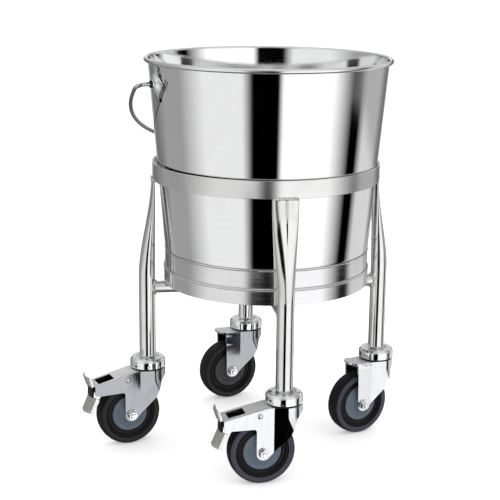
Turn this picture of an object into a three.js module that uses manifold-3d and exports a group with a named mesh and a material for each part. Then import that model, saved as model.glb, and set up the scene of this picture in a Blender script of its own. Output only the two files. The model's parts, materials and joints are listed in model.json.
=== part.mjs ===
// A stainless steel bucket with a wire bail, carried in a four-legged tubular
// stand on swivel casters. Millimetres, +Z up, legs on the X and Y axes.
import * as THREE from 'three';
import { mergeVertices } from 'three/addons/utils/BufferGeometryUtils.js';
import Module from 'manifold-3d';

const wasm = await Module();
wasm.setup();

// ---------------------------------------------------------------- driving dimensions
const gap = 0.3;                      // clearance between pieces that touch

// Bucket
const bucketHeight = 343;             // base edge to the top of the rolled rim
const rimRadius = 182;                // outside of the wall at the rim
const panRadius = 157;                // outside of the straight-sided pan
const panTop = 53;                    // height of the pan's upper edge above the base
const sheet = 1.2;                    // bucket sheet thickness
const lapDepth = 12;                  // how far the shell reaches down into the pan
const floorRise = 9;                  // pan floor above the base edge
const footHeight = 25;
const footBead = 1.6;
const rimWireRadius = 2;
const bucketShift = 2;                // the bucket stands a little off the ring's centre

// Bail and its ears
const earDrop = 34;                   // bail pivot below the top of the rim
const earAngle = 197;                 // direction of one ear, degrees from +X
const earHalfWidth = 19;
const earHalfHeight = 27;
const earPlate = 2;
const bossRadius = 9;
const bossLength = 10;
const bailWireRadius = 3;
const bailReach = 29;                 // bail's radius beyond the rim wall
const bailBend = 12;
const bailRingClearance = 3;          // hanging bail to the top of the ring

// Stand
const ringGap = 2.26;                 // bucket wall to the ring at its top edge
const ringLevel = 186;                // top of the ring above the bucket's base
const ringBar = 3;
const ringHeight = 26;
const legTube = 25.4;
const legWall = 1.5;
const legInset = 0.2;                 // leg's inner side inside the ring's bore
const flatHalfWidth = 19;             // pinched top of the leg
const flatHalfThickness = 2.8;
const pinchLength = 152;
const braceTube = 19;
const braceRise = 126;                // brace axis above the cap's lower edge

// Casters
const wheelDiameter = 100;
const tyreWidth = 26;
const tyreDepth = 11.6;                // tread to the tyre's bore
const rimStep = 10;                   // tyre's bore to the hub disc
const trail = 34;                     // axle behind the swivel axis
const forkClearance = 16;             // tyre to the underside of the crown
const forkGap = 3;                    // tyre side to the cheek
const forkSheet = 2.5;
const forkTip = 10.5;
const crownRadius = 27.3;
const crownSheet = 3;
const crownSkirt = 12;
const tongueReach = 57;
const armReach = 93;
const armDepth = 16;
const sealHeight = 2.6;
const capHeight = 20;
const capWall = 2;
const legIntoCap = 12;
const stemRadius = 5;
const stemLength = 68;
const kingpinRadius = 6;
const boltRadius = 4;
const bushWall = 1.7;
const brakePinRadius = 2.5;
const pedalWidth = 20;
const padWidth = 30;
const padDrop = 27.5;                 // pad's lower edge below the arm
const tabHeight = 22;                 // release tab above the arm
const pressAngle = 6;                 // degrees the pedal turns before its shoe meets the tread
const slotLength = 25;
const slotWidth = 23;
const slotToEnd = 8;                  // slot to the front of the arm
const parkAngles = { front: 185, right: 202, back: 198, left: 197 };
const brakedCasters = ['front', 'left'];

// Facets
const bucketFacets = 40;
const tubeFacets = 16;
const boltFacets = 12;
const capFacets = 20;
const tyreFacets = 24;

// ---------------------------------------------------------------- derived sizes
const legRadius = legTube / 2;
const braceRadius = braceTube / 2;
const wheelRadius = wheelDiameter / 2;
const tyreBore = wheelRadius - tyreDepth;
const hubDiscRadius = tyreBore - rimStep;
const cheekInner = tyreWidth / 2 + forkGap;
const cheekOuter = cheekInner + forkSheet;
const crownUnder = wheelDiameter + forkClearance;
const crownTop = crownUnder + crownSheet;
const sealBase = crownTop + gap;
const capBase = sealBase + sealHeight + gap;
const capTop = capBase + capHeight;
const legBase = capTop - legIntoCap;
const braceHeight = capBase + braceRise;
const bucketBase = braceHeight + braceRadius + gap;
const rimTop = bucketBase + bucketHeight;
const panEdge = bucketBase + panTop;
const ringTop = bucketBase + ringLevel;
const ringBase = ringTop - ringHeight;
const wallSlope = (rimRadius - panRadius) / (rimTop - panEdge);
const wallRadius = (z) => panRadius + wallSlope * (z - panEdge);
const curlOuter = rimWireRadius + gap + 0.1 + sheet;
const curlInner = curlOuter - sheet;
const curlRadius = rimRadius - sheet + curlOuter;
const curlHeight = rimTop - curlOuter;
const joggle = panEdge + gap + 2 * sheet;      // where the shell clears the pan's edge
const shellRadius = (z) => THREE.MathUtils.mapLinear(z, joggle, curlHeight, wallRadius(joggle), rimRadius);
const ringInner = shellRadius(ringTop) + ringGap;
const ringOuter = ringInner + ringBar;
const legCircle = ringInner + legRadius - legInset;
const earHeight = rimTop - earDrop;
const bailRadius = rimRadius + bailReach;
// The hanging bail comes to rest over the ring or against the wall, whichever is first.
const sagToRing = Math.asin(
  Math.min(1, (earHeight - ringTop - bailWireRadius - bailRingClearance) / bailRadius));
const sagToWall = Math.atan(wallSlope) + Math.acos(
  (wallRadius(earHeight) + bailWireRadius + gap) / (bailRadius * Math.hypot(1, wallSlope)));
const bailSag = Math.min(sagToRing, sagToWall);

// ---------------------------------------------------------------- materials
const finish = (color, roughness, metalness) =>
  new THREE.MeshStandardMaterial({ color, roughness, metalness });
const finishes = {
  bucketSteel: finish(0xc9cbcc, 0.2, 1),
  tubeSteel: finish(0xb9bab9, 0.28, 1),
  chrome: finish(0xe2e4e6, 0.08, 1),
  zinc: finish(0xb4b6b8, 0.35, 1),
  tyre: finish(0x2b2930, 0.55, 0),
  hub: finish(0x4c545e, 0.5, 0),
  seal: finish(0x101010, 0.6, 0),
};

// ---------------------------------------------------------------- geometry helpers
const radians = THREE.MathUtils.degToRad;
const along = (degrees, radius) =>
  [radius * Math.cos(radians(degrees)), radius * Math.sin(radians(degrees))];

// Merges shared vertices, drops empty triangles and turns the faces outward.
function solid(geometry) {
  const bare = geometry.clone();
  bare.deleteAttribute('normal');
  bare.deleteAttribute('uv');
  const merged = mergeVertices(bare, 1e-4);
  const p = merged.attributes.position;
  const corner = (i) => new THREE.Vector3().fromBufferAttribute(p, i);
  const kept = [];
  let volume = 0;
  for (let i = 0; i < merged.index.count; i += 3) {
    const [a, b, c] = [0, 1, 2].map((k) => merged.index.getX(i + k));
    if (a === b || b === c || c === a) continue;
    kept.push([a, b, c]);
    volume += corner(a).dot(corner(b).cross(corner(c)));
  }
  const faces = volume < 0 ? kept.map(([a, b, c]) => [a, c, b]) : kept;
  merged.setIndex(faces.flat());
  return merged;
}

function toManifold(geometry) {
  const closed = solid(geometry);
  return new wasm.Manifold(new wasm.Mesh({
    numProp: 3,
    vertProperties: new Float32Array(closed.attributes.position.array),
    triVerts: new Uint32Array(closed.index.array),
  }));
}

function fromManifold(manifold) {
  const { vertProperties, triVerts } = manifold.getMesh();
  const geometry = new THREE.BufferGeometry();
  geometry.setAttribute('position', new THREE.Float32BufferAttribute(vertProperties, 3));
  geometry.setIndex(Array.from(triVerts));
  return geometry;
}

const join = (...pieces) =>
  fromManifold(pieces.map(toManifold).reduce((whole, piece) => whole.add(piece)));
const cut = (body, ...tools) =>
  fromManifold(tools.map(toManifold).reduce((rest, tool) => rest.subtract(tool), toManifold(body)));

// Turns a closed [radius, height] outline about the Z axis.
function turned(outline, facets) {
  const onAxis = outline[0][0] === 0;
  const points = (onAxis ? outline : [...outline, outline[0]]).map(([r, z]) => new THREE.Vector2(r, z));
  return new THREE.LatheGeometry(points, facets).rotateX(Math.PI / 2);
}

// The same about the Y axis, with a flat facet underneath.
const turnedOnAxle = (outline, facets) =>
  turned(outline, facets).rotateX(-Math.PI / 2).rotateY(Math.PI / facets);

const rod = (radius, from, to, facets = boltFacets) =>
  turned([[0, from], [radius, from], [radius, to], [0, to]], facets);
const rodOnAxle = (radius, from, to, facets = boltFacets) =>
  turnedOnAxle([[0, from], [radius, from], [radius, to], [0, to]], facets);

// Extrudes an outline drawn in X and Z to a width centred on y.
const plateAt = (shape, width, y) =>
  new THREE.ExtrudeGeometry(shape, { depth: width, bevelEnabled: false, curveSegments: 6 })
    .rotateX(Math.PI / 2).translate(0, y + width / 2, 0);

const polygon = (points) => new THREE.Shape(points.map(([x, z]) => new THREE.Vector2(x, z)));

const arc = (x, y, radius, from, to, steps) => Array.from({ length: steps + 1 }, (_, i) => {
  const angle = radians(from + (to - from) * i / steps);
  return [x + radius * Math.cos(angle), y + radius * Math.sin(angle)];
});

const product = new THREE.Group();

function add(parent, name, geometry, material) {
  const mesh = new THREE.Mesh(solid(geometry), material);
  mesh.name = name;
  parent.add(mesh);
  return mesh;
}

// ---------------------------------------------------------------- bucket
function bucketShell() {
  const lapOuter = panRadius - sheet - gap - 0.2;
  return turned([
    [lapOuter - sheet, panEdge - lapDepth],
    [lapOuter, panEdge - lapDepth],
    [lapOuter, panEdge + gap],
    [wallRadius(joggle), joggle],
    [rimRadius, curlHeight],
    ...arc(curlRadius, curlHeight, curlInner, 180, -120, 5).slice(1),
    ...arc(curlRadius, curlHeight, curlOuter, -120, 180, 6),
    [wallRadius(joggle) - sheet, joggle],
    [lapOuter - sheet, panEdge + gap],
  ], bucketFacets);
}

function bucketPan() {
  const inner = panRadius - sheet;
  const base = bucketBase + floorRise;
  const corner = 4;
  return turned([
    [0, base],
    [panRadius - corner, base],
    [panRadius, base + corner],
    [panRadius, panEdge],
    [inner, panEdge],
    [inner, base + corner + sheet / 2],
    [inner - corner + sheet / 2, base + sheet],
    [0, base + sheet],
  ], bucketFacets);
}

function footRing() {
  const inner = panRadius + gap + 0.1;
  const outer = inner + sheet;
  const beadLevel = bucketBase + footHeight - footBead;
  return turned([
    [inner, bucketBase],
    [outer, bucketBase],
    [outer, beadLevel - footBead],
    [outer + footBead * 0.7, beadLevel - footBead * 0.5],
    [outer + footBead * 0.7, beadLevel + footBead * 0.5],
    [outer, beadLevel + footBead],
    [inner, beadLevel + footBead],
  ], bucketFacets);
}

// A plate that narrows to a rounded tail, with a boss that holds the bail's end.
function ear() {
  const outline = new THREE.Shape();
  const tip = earHalfWidth * 0.36;
  outline.moveTo(-earHalfWidth * 0.4, earHalfHeight);
  outline.quadraticCurveTo(-earHalfWidth * 0.5, earHalfHeight * 0.5, -earHalfWidth, 0);
  outline.quadraticCurveTo(-earHalfWidth * 0.45, -earHalfHeight * 0.4, -tip, -earHalfHeight * 0.85);
  outline.quadraticCurveTo(0, -earHalfHeight * 1.15, tip, -earHalfHeight * 0.85);
  outline.quadraticCurveTo(earHalfWidth * 0.45, -earHalfHeight * 0.4, earHalfWidth, 0);
  outline.quadraticCurveTo(earHalfWidth * 0.5, earHalfHeight * 0.5, earHalfWidth * 0.4, earHalfHeight);
  const plate = new THREE.ExtrudeGeometry(outline, {
    depth: earPlate, bevelEnabled: false, curveSegments: 4,
  }).rotateX(Math.PI / 2).rotateZ(Math.PI / 2);
  plate.rotateY(Math.atan(wallSlope)).translate(gap, 0, 0);
  const boss = turned([
    [0, -earPlate], [bossRadius, -earPlate], [bossRadius, bossLength * 0.6],
    [bossRadius * 0.6, bossLength], [0, bossLength],
  ], boltFacets).rotateY(Math.PI / 2);
  const bore = rod(bailWireRadius + gap + 0.1, earPlate + gap, bossLength + 1).rotateY(Math.PI / 2);
  const wall = new THREE.BoxGeometry(bossLength, 4 * earHalfWidth, 4 * earHalfHeight)
    .translate(-bossLength / 2, 0, 0).rotateY(Math.atan(wallSlope)).translate(gap, 0, 0);
  return cut(join(plate, boss), bore, wall);
}

// Wire bent to a half circle, with both ends turned in along the pivot axis.
function bail() {
  const end = shellRadius(earHeight) + earPlate + 3 * gap;
  const shoulder = bailRadius - bailBend;
  const right = [[end, 0], [(end + shoulder) / 2, 0], ...arc(shoulder, bailBend, bailBend, -90, 0, 4)];
  const sweep = arc(0, 0, bailRadius, 6, 90, 12).slice(0, -1);
  const half = [...right, ...sweep];
  const points = [...half, [0, bailRadius], ...half.reverse().map(([a, b]) => [-a, b])];
  const path = new THREE.CatmullRomCurve3(points.map(([a, b]) => new THREE.Vector3(a, 0, -b)), false, 'centripetal');
  path.arcLengthDivisions = 600;
  const section = polygon(arc(0, 0, bailWireRadius, 0, 300, 5));
  return new THREE.ExtrudeGeometry(section, { steps: 64, extrudePath: path, bevelEnabled: false });
}

const bucket = new THREE.Group();
bucket.position.x = bucketShift;
product.add(bucket);
add(bucket, 'bucket_shell', bucketShell(), finishes.bucketSteel);
add(bucket, 'bucket_pan', bucketPan(), finishes.bucketSteel);
add(bucket, 'foot_ring', footRing(), finishes.bucketSteel);
add(bucket, 'rim_wire',
  turned(arc(curlRadius, curlHeight, rimWireRadius, 0, 288, 4), bucketFacets), finishes.zinc);
for (const [name, angle] of [['ear_left', earAngle], ['ear_right', earAngle - 180]]) {
  const mesh = add(bucket, name, ear(), finishes.bucketSteel);
  mesh.position.set(...along(angle, shellRadius(earHeight)), earHeight);
  mesh.rotation.z = radians(angle);
}
const bailWire = add(bucket, 'bail_wire', bail(), finishes.tubeSteel);
bailWire.position.z = earHeight;
bailWire.rotation.set(Math.PI / 2 - bailSag, 0, radians(earAngle - 180), 'ZYX');

// ---------------------------------------------------------------- stand
// A round tube pinched flat towards its top; its inner side stays upright.
function leg() {
  const top = ringBase - gap;
  const pinchStart = top - pinchLength;
  const section = (z, inset) => {
    const t = THREE.MathUtils.smoothstep(z, pinchStart, top);
    const width = THREE.MathUtils.lerp(legRadius, flatHalfWidth, t) - inset;
    const thickness = THREE.MathUtils.lerp(legRadius, flatHalfThickness, t) - inset;
    const centre = THREE.MathUtils.lerp(legCircle, ringInner + ringBar / 2 + 0.6, t);
    return arc(0, 0, 1, 0, 360 - 360 / tubeFacets, tubeFacets - 1)
      .map(([x, y]) => [centre + thickness * x, width * y, z]);
  };
  const levels = [0, 0.2, 0.4, 0.6, 0.8];
  const rise = (z) => pinchStart + z * pinchLength;
  const outer = [legBase, ...levels.map(rise), top].map((z) => section(z, 0));
  const inner = [legBase, ...levels.map(rise)].map((z) => section(z, legWall));
  const rings = [...outer, ...inner];
  const vertices = rings.flat();
  const faces = [];
  const band = (low, high) => {
    for (let i = 0; i < tubeFacets; i += 1) {
      const j = (i + 1) % tubeFacets;
      const [a, b, c, d] = [low + i, low + j, high + j, high + i];
      faces.push([a, b, c], [a, c, d]);
    }
  };
  const fan = (ring, flip) => {
    for (let i = 1; i < tubeFacets - 1; i += 1) {
      faces.push(flip ? [ring, ring + i + 1, ring + i] : [ring, ring + i, ring + i + 1]);
    }
  };
  const start = (ring) => ring * tubeFacets;
  for (let ring = 0; ring < outer.length - 1; ring += 1) band(start(ring), start(ring + 1));
  fan(start(outer.length - 1), false);
  for (let ring = outer.length; ring < rings.length - 1; ring += 1) band(start(ring + 1), start(ring));
  fan(start(rings.length - 1), true);
  band(start(outer.length), start(0));
  const geometry = new THREE.BufferGeometry();
  geometry.setAttribute('position', new THREE.Float32BufferAttribute(vertices.flat(), 3));
  geometry.setIndex(faces.flat());
  return geometry;
}

const legDirections = { front: -90, right: 0, back: 90, left: 180 };
for (const [side, angle] of Object.entries(legDirections)) {
  add(product, `leg_${side}`, leg(), finishes.tubeSteel).rotation.z = radians(angle);
}

add(product, 'support_ring', turned([
  [ringInner, ringBase], [ringOuter, ringBase], [ringOuter, ringTop], [ringInner, ringTop],
], bucketFacets), finishes.tubeSteel);

// Brace tubes lie under the bucket; each end is coped round the tube it meets.
function braceAlongX(from, to) {
  const tube = turned([
    [braceRadius - legWall, from], [braceRadius, from], [braceRadius, to], [braceRadius - legWall, to],
  ], tubeFacets);
  return tube.rotateY(Math.PI / 2).translate(0, 0, braceHeight);
}
const legCope = (x) => rod(legRadius + gap, braceHeight - braceTube, braceHeight + braceTube, tubeFacets)
  .translate(x, 0, 0);
const braceCope = rod(braceRadius + gap, -braceTube, braceTube, tubeFacets)
  .rotateX(Math.PI / 2).translate(0, 0, braceHeight);

add(product, 'cross_brace_long',
  cut(braceAlongX(-legCircle, legCircle), legCope(-legCircle), legCope(legCircle)), finishes.tubeSteel);
for (const [side, angle] of [['front', -90], ['back', 90]]) {
  const half = cut(braceAlongX(0, legCircle), braceCope, legCope(legCircle));
  add(product, `cross_brace_${side}`, half, finishes.tubeSteel).rotation.z = radians(angle);
}

// ---------------------------------------------------------------- caster pieces fixed to the leg
function swivelCap() {
  const bore = legRadius + gap;
  const edge = crownRadius;
  return turned([
    [edge - capWall, capBase], [edge, capBase], [edge, capBase + capHeight * 0.55],
    [edge - 2.5, capTop - 3], [edge - 8, capTop - 0.4], [bore, capTop],
    [bore, capTop - capWall], [edge - 9, capTop - capWall - 0.4], [edge - capWall, capBase + capHeight * 0.5],
  ], capFacets);
}

// Kingpin, upper race plate and stem in one: it holds the fork and enters the leg.
function casterStem() {
  const headRadius = kingpinRadius + 3;
  const plateRadius = crownRadius - capWall - gap - 0.1;
  return turned([
    [0, crownUnder - gap - 3.5], [headRadius, crownUnder - gap - 3.5], [headRadius, crownUnder - gap],
    [kingpinRadius, crownUnder - gap], [kingpinRadius, capBase], [plateRadius, capBase],
    [plateRadius, capBase + 3], [stemRadius, capBase + 3], [stemRadius, capBase + stemLength],
    [0, capBase + stemLength],
  ], boltFacets);
}

const expander = () => {
  const outer = legRadius - legWall - 2 * gap;
  const top = capBase + stemLength - 2;
  return turned([
    [stemRadius + gap, capTop + 3], [outer, capTop + 3], [outer, top], [stemRadius + gap, top],
  ], boltFacets);
};

// ---------------------------------------------------------------- swivelling fork
const armTopAt = (x) => crownTop - (x - crownRadius) * (crownTop - crownUnder + armDepth - 4)
  / (armReach - crownRadius);
const armEndTop = armTopAt(armReach);
const armLow = armEndTop - armDepth;
const brakePin = { x: trail + 6, z: armTopAt(trail + 6) - forkSheet - 6 };

function cheek(braked) {
  const shape = new THREE.Shape();
  const front = trail + forkTip;
  const fillet = 5;
  shape.absarc(trail, wheelRadius, forkTip, radians(222), radians(360), false);
  if (braked) {
    shape.lineTo(front, armLow - fillet);
    shape.quadraticCurveTo(front, armLow, front + fillet, armLow);
    shape.lineTo(armReach - 4, armLow);
    shape.quadraticCurveTo(armReach, armLow, armReach, armLow + 4);
    shape.lineTo(armReach, armEndTop);
    shape.lineTo(crownRadius, crownTop);
  } else {
    shape.lineTo(front, crownTop);
  }
  shape.lineTo(-crownRadius * 0.7, crownTop);
  shape.lineTo(-crownRadius * 0.68, crownUnder - 8);
  shape.lineTo(-5, wheelRadius * 1.52);
  return shape;
}

function fork(braked) {
  const middle = (cheekInner + cheekOuter) / 2;
  const crown = turned([
    [0, crownUnder], [crownRadius - forkSheet, crownUnder], [crownRadius - forkSheet, crownTop - crownSkirt],
    [crownRadius, crownTop - crownSkirt], [crownRadius, crownTop], [0, crownTop],
  ], capFacets);
  const pieces = [crown, plateAt(cheek(braked), forkSheet, -middle), plateAt(cheek(braked), forkSheet, middle)];
  if (braked) {
    const root = crownRadius * 0.6;
    pieces.push(plateAt(polygon([
      [root, crownTop - forkSheet], [crownRadius, crownTop - forkSheet], [armReach, armEndTop - forkSheet],
      [armReach, armEndTop], [crownRadius, crownTop], [root, crownTop],
    ]), 2 * cheekOuter, 0));
  } else {
    const nose = new THREE.Shape();
    nose.moveTo(0, -cheekOuter);
    nose.lineTo(tongueReach - cheekOuter, -cheekOuter);
    nose.absarc(tongueReach - cheekOuter, 0, cheekOuter, -Math.PI / 2, Math.PI / 2, false);
    nose.lineTo(0, cheekOuter);
    pieces.push(new THREE.ExtrudeGeometry(nose, {
      depth: crownSheet, bevelEnabled: false, curveSegments: 8,
    }).translate(0, 0, crownUnder));
  }
  const holes = [
    rod(kingpinRadius + gap, crownUnder - 1, crownTop + 1),
    rodOnAxle(boltRadius + gap, -crownRadius, crownRadius).translate(trail, 0, wheelRadius),
  ];
  if (braked) {
    holes.push(rodOnAxle(brakePinRadius + gap, -crownRadius, crownRadius)
      .translate(brakePin.x, 0, brakePin.z));
    holes.push(new THREE.BoxGeometry(slotLength, slotWidth, crownSkirt * 2)
      .translate(armReach - slotToEnd - slotLength / 2, 0, armEndTop + 2));
  }
  return cut(join(...pieces), ...holes);
}

// Pedal: arm and shoe between the cheeks, release tab above, foot pad below.
function pedal() {
  const { x, z } = brakePin;
  const boss = rodOnAxle(brakePinRadius + 2.2, -pedalWidth / 2, pedalWidth / 2).translate(x, 0, z);
  const end = armReach + 3;
  const lift = radians(pressAngle);
  // The shoe is drawn pressed, this far off the tread, and turned back up about its pin.
  const shoePoint = (degrees, clearance) => {
    const [dx, dz] = along(degrees, wheelRadius + clearance);
    const [armX, armZ] = [trail + dx - x, wheelRadius + dz - z];
    return [
      x + armX * Math.cos(lift) - armZ * Math.sin(lift),
      z + armX * Math.sin(lift) + armZ * Math.cos(lift),
    ];
  };
  const arm = plateAt(polygon([
    [x - 1, z - 4], [x + 20, z - 8.5], ...[shoePoint(55, 0.9), shoePoint(40, 1.4)],
    [x + 39, armEndTop - 9], [end - 4, armEndTop - 11], [end - 3, armLow - 4], [end + 0.5, armLow - 3],
    [end, armEndTop - 8], [end + 3, armEndTop - 1], [end + 5, armEndTop + tabHeight],
    [end + 2, armEndTop + tabHeight], [end - 0.2, armEndTop + 1], [end - 2, armEndTop - 4.6],
    [x + 20, z - 4], [x - 1, z + 4],
  ]), pedalWidth, 0);
  const pad = plateAt(polygon([
    [end - 3.5, armLow - 2.5], [end - 0.5, armLow - 1], [end + 11, armLow - padDrop + 1.5],
    [end + 8, armLow - padDrop],
  ]), padWidth, 0);
  const bore = rodOnAxle(brakePinRadius + gap, -pedalWidth, pedalWidth).translate(x, 0, z);
  return cut(join(arm, boss, pad), bore);
}

// ---------------------------------------------------------------- wheel and axle
const facetScale = 1 / Math.cos(Math.PI / tyreFacets);

function tyre() {
  const half = tyreWidth / 2;
  const outer = wheelRadius * facetScale;
  return turnedOnAxle([
    [tyreBore, -half + 2], [outer - 5, -half], [outer - 1.6, -half + 2], [outer, -half + 6],
    [outer, half - 6], [outer - 1.6, half - 2], [outer - 5, half], [tyreBore, half - 2],
  ], tyreFacets);
}

function hub() {
  const bore = boltRadius + gap + bushWall + gap;
  const face = tyreWidth / 2 - 3;
  const boss = cheekInner - 2 * gap;
  const rim = tyreBore - gap;
  return turnedOnAxle([
    [bore, -boss], [12, -boss], [14, -face], [hubDiscRadius, -face], [hubDiscRadius, -face + 2],
    [rim, -face + 2], [rim, face - 2], [hubDiscRadius, face - 2], [hubDiscRadius, face],
    [14, face], [12, boss], [bore, boss],
  ], tyreFacets);
}

function axleBush() {
  const inner = boltRadius + gap;
  const length = cheekInner - gap;
  return turnedOnAxle([
    [inner, -length], [inner + bushWall, -length], [inner + bushWall, length], [inner, length],
  ], boltFacets);
}

// The nut is on the axle's +Y end and the head on its -Y end.
const boltSeat = cheekOuter + gap;
const hexRadius = 7.5;
const boltHead = 5;
const nutHeight = 6.5;
const boltEnd = 2;                    // thread that shows past the nut

const axleBolt = () => join(
  rodOnAxle(hexRadius, -boltSeat - boltHead, -boltSeat, 6),
  rodOnAxle(boltRadius, -boltSeat - 1, boltSeat + nutHeight + boltEnd),
);
const axleNut = () => cut(
  rodOnAxle(hexRadius, boltSeat, boltSeat + nutHeight, 6),
  rodOnAxle(boltRadius + gap, 0, boltSeat + nutHeight + boltEnd),
);

const brakePinBody = () => turnedOnAxle([
  [0, -cheekOuter - 2.2], [4, -cheekOuter - 1.8], [4, -cheekOuter - gap], [brakePinRadius, -cheekOuter - gap],
  [brakePinRadius, cheekOuter + gap], [4, cheekOuter + gap], [4, cheekOuter + 1.8], [0, cheekOuter + 2.2],
], boltFacets).translate(brakePin.x, 0, brakePin.z);

const sealRing = () => turned([
  [kingpinRadius + 2 * gap, sealBase], [crownRadius - 1.6, sealBase],
  [crownRadius - 1.6, sealBase + sealHeight], [kingpinRadius + 2 * gap, sealBase + sealHeight],
], capFacets);

for (const [side, direction] of Object.entries(legDirections)) {
  const fixed = new THREE.Group();
  fixed.position.set(...along(direction, legCircle), 0);
  fixed.rotation.z = radians(direction);
  product.add(fixed);
  add(fixed, `swivel_cap_${side}`, swivelCap(), finishes.chrome);
  add(fixed, `caster_stem_${side}`, casterStem(), finishes.zinc);
  add(fixed, `stem_expander_${side}`, expander(), finishes.seal);

  const swivel = new THREE.Group();
  swivel.position.copy(fixed.position);
  swivel.rotation.z = radians(parkAngles[side]);
  product.add(swivel);
  const braked = brakedCasters.includes(side);
  add(swivel, `swivel_seal_${side}`, sealRing(), finishes.seal);
  add(swivel, `fork_${side}`, fork(braked), finishes.chrome);
  if (braked) {
    add(swivel, `brake_pedal_${side}`, pedal(), finishes.zinc);
    add(swivel, `brake_pin_${side}`, brakePinBody(), finishes.zinc);
  }

  const axle = new THREE.Group();
  axle.position.set(trail, 0, wheelRadius);
  swivel.add(axle);
  add(axle, `tyre_${side}`, tyre(), finishes.tyre);
  add(axle, `wheel_hub_${side}`, hub(), finishes.hub);
  add(axle, `axle_bush_${side}`, axleBush(), finishes.zinc);
  add(axle, `axle_bolt_${side}`, axleBolt(), finishes.zinc);
  add(axle, `axle_nut_${side}`, axleNut(), finishes.zinc);
}

// The origin is the middle of the footprint, on the floor.
product.updateMatrixWorld(true);
const extent = new THREE.Box3().setFromObject(product, true);
const middle = extent.getCenter(new THREE.Vector3());
product.position.set(-middle.x, -middle.y, -extent.min.z);

export default product;
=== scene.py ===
"""A stainless bucket with a wire bail, standing in a four-legged tubular stand on swivel casters."""
import json
import math

import bmesh
import bpy
from mathutils import Matrix, Vector, noise


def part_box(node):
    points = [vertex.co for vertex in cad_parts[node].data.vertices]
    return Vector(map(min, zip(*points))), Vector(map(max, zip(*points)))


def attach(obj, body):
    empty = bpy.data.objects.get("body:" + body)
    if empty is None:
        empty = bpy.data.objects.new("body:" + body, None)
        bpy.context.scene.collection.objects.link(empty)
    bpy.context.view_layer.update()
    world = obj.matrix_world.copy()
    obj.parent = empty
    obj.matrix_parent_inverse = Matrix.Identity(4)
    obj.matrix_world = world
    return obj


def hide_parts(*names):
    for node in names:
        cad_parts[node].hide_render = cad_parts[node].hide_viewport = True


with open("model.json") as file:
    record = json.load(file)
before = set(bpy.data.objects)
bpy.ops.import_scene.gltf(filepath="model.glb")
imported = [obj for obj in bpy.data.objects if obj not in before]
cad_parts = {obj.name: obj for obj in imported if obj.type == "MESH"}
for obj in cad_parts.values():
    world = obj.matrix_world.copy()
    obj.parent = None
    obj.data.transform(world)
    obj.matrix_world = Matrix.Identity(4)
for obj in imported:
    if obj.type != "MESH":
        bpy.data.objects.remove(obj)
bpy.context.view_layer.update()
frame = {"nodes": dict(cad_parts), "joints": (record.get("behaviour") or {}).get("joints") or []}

mm = 0.001
joint_at = {joint["name"]: joint for joint in frame["joints"]}
sides = ("front", "right", "back", "left")
braked_sides = ("front", "left")


# ---------------------------------------------------------------- sizes read from the frame
def middle_of(node):
    low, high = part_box(node)
    return (low + high) / 2


def half_width_of(node):
    low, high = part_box(node)
    return (high.x - low.x) / 2


stand_axis = middle_of("support_ring")
ring_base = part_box("support_ring")[0].z
ring_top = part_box("support_ring")[1].z
ring_outer = half_width_of("support_ring")
ring_bar = 3 * mm
bucket_axis = middle_of("bucket_shell")
bucket_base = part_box("foot_ring")[0].z
rim_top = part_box("bucket_shell")[1].z
pan_radius = half_width_of("bucket_pan")
pan_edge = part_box("bucket_pan")[1].z
pan_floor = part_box("bucket_pan")[0].z
sheet = 1.2 * mm
curl_outer = 3.6 * mm
curl_radius = half_width_of("bucket_shell") - curl_outer
curl_height = rim_top - curl_outer
rim_radius = curl_radius - curl_outer + sheet
wall_slope = (rim_radius - pan_radius) / (rim_top - pan_edge)
leg_radius = 12.7 * mm
leg_circle = (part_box("swivel_cap_right")[1].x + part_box("swivel_cap_right")[0].x) / 2 - stand_axis.x
brace_height = middle_of("cross_brace_long").z
brace_radius = 9.5 * mm
cap_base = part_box("swivel_cap_front")[0].z
cap_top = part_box("swivel_cap_front")[1].z
cap_radius = half_width_of("swivel_cap_front")
bail_pivot = Vector(joint_at["bail_swing"]["pos_m"])
bail_axis = Vector(joint_at["bail_swing"]["axis"])
bail_wire_radius = 3 * mm
wheel_radius = joint_at["wheel_front_spin"]["pos_m"][2]
trail = 34 * mm
tyre_half = 13 * mm
tyre_bore = 38.4 * mm
cheek_outer = 18.5 * mm
cheek_sheet = 2.5 * mm
crown_top = 119 * mm
crown_under = 116 * mm
arm_reach = 93 * mm
arm_top = 104 * mm
arm_low = 88 * mm
brake_pin_ahead = trail + 6 * mm
pedal_press = math.radians(6)
pedal_end = arm_reach + 3 * mm
# The back and left casters get darker fork and tyre side-wall finishes: painted shade for the shaded side
# of the stand.
painted_shade_sides = ("back", "left")


def wall_radius(height):
    return pan_radius + wall_slope * (height - pan_edge)


# ---------------------------------------------------------------- camera
view_turn = math.radians(9.03)
view_pitch = math.radians(76.04)
view_roll = math.radians(0.62)
view_place = Vector((-0.2849, -1.8954, 0.780))
view_lens = 91.79
film_width = 36


def make_camera():
    data = bpy.data.cameras.new("camera")
    data.lens = view_lens
    data.sensor_width = film_width
    camera = bpy.data.objects.new("camera", data)
    bpy.context.scene.collection.objects.link(camera)
    turn = Matrix.Rotation(-view_turn, 4, "Z")
    tilt = Matrix.Rotation(view_pitch, 4, "X")
    roll = Matrix.Rotation(view_roll, 4, "Z")
    camera.matrix_world = Matrix.Translation(view_place) @ turn @ tilt @ roll
    bpy.context.scene.camera = camera


# ---------------------------------------------------------------- node helpers
def put(tree, kind, settings=None, **values):
    """Adds a node, sets its own settings and then its input sockets by name."""
    made = tree.nodes.new(kind)
    for key, value in (settings or {}).items():
        setattr(made, key, value)
    for key, value in values.items():
        made.inputs[key.replace("_", " ")].default_value = value
    return made


def wire(tree, source, target):
    tree.links.new(source, target)


def ramp(tree, stops, source):
    made = tree.nodes.new("ShaderNodeValToRGB")
    points = made.color_ramp.elements
    while len(points) < len(stops):
        points.new(0.5)
    for point, (place, value) in zip(points, stops):
        point.position = place
        point.color = (value, value, value, 1)
    wire(tree, source, made.inputs["Fac"])
    return made.outputs["Color"]


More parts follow.
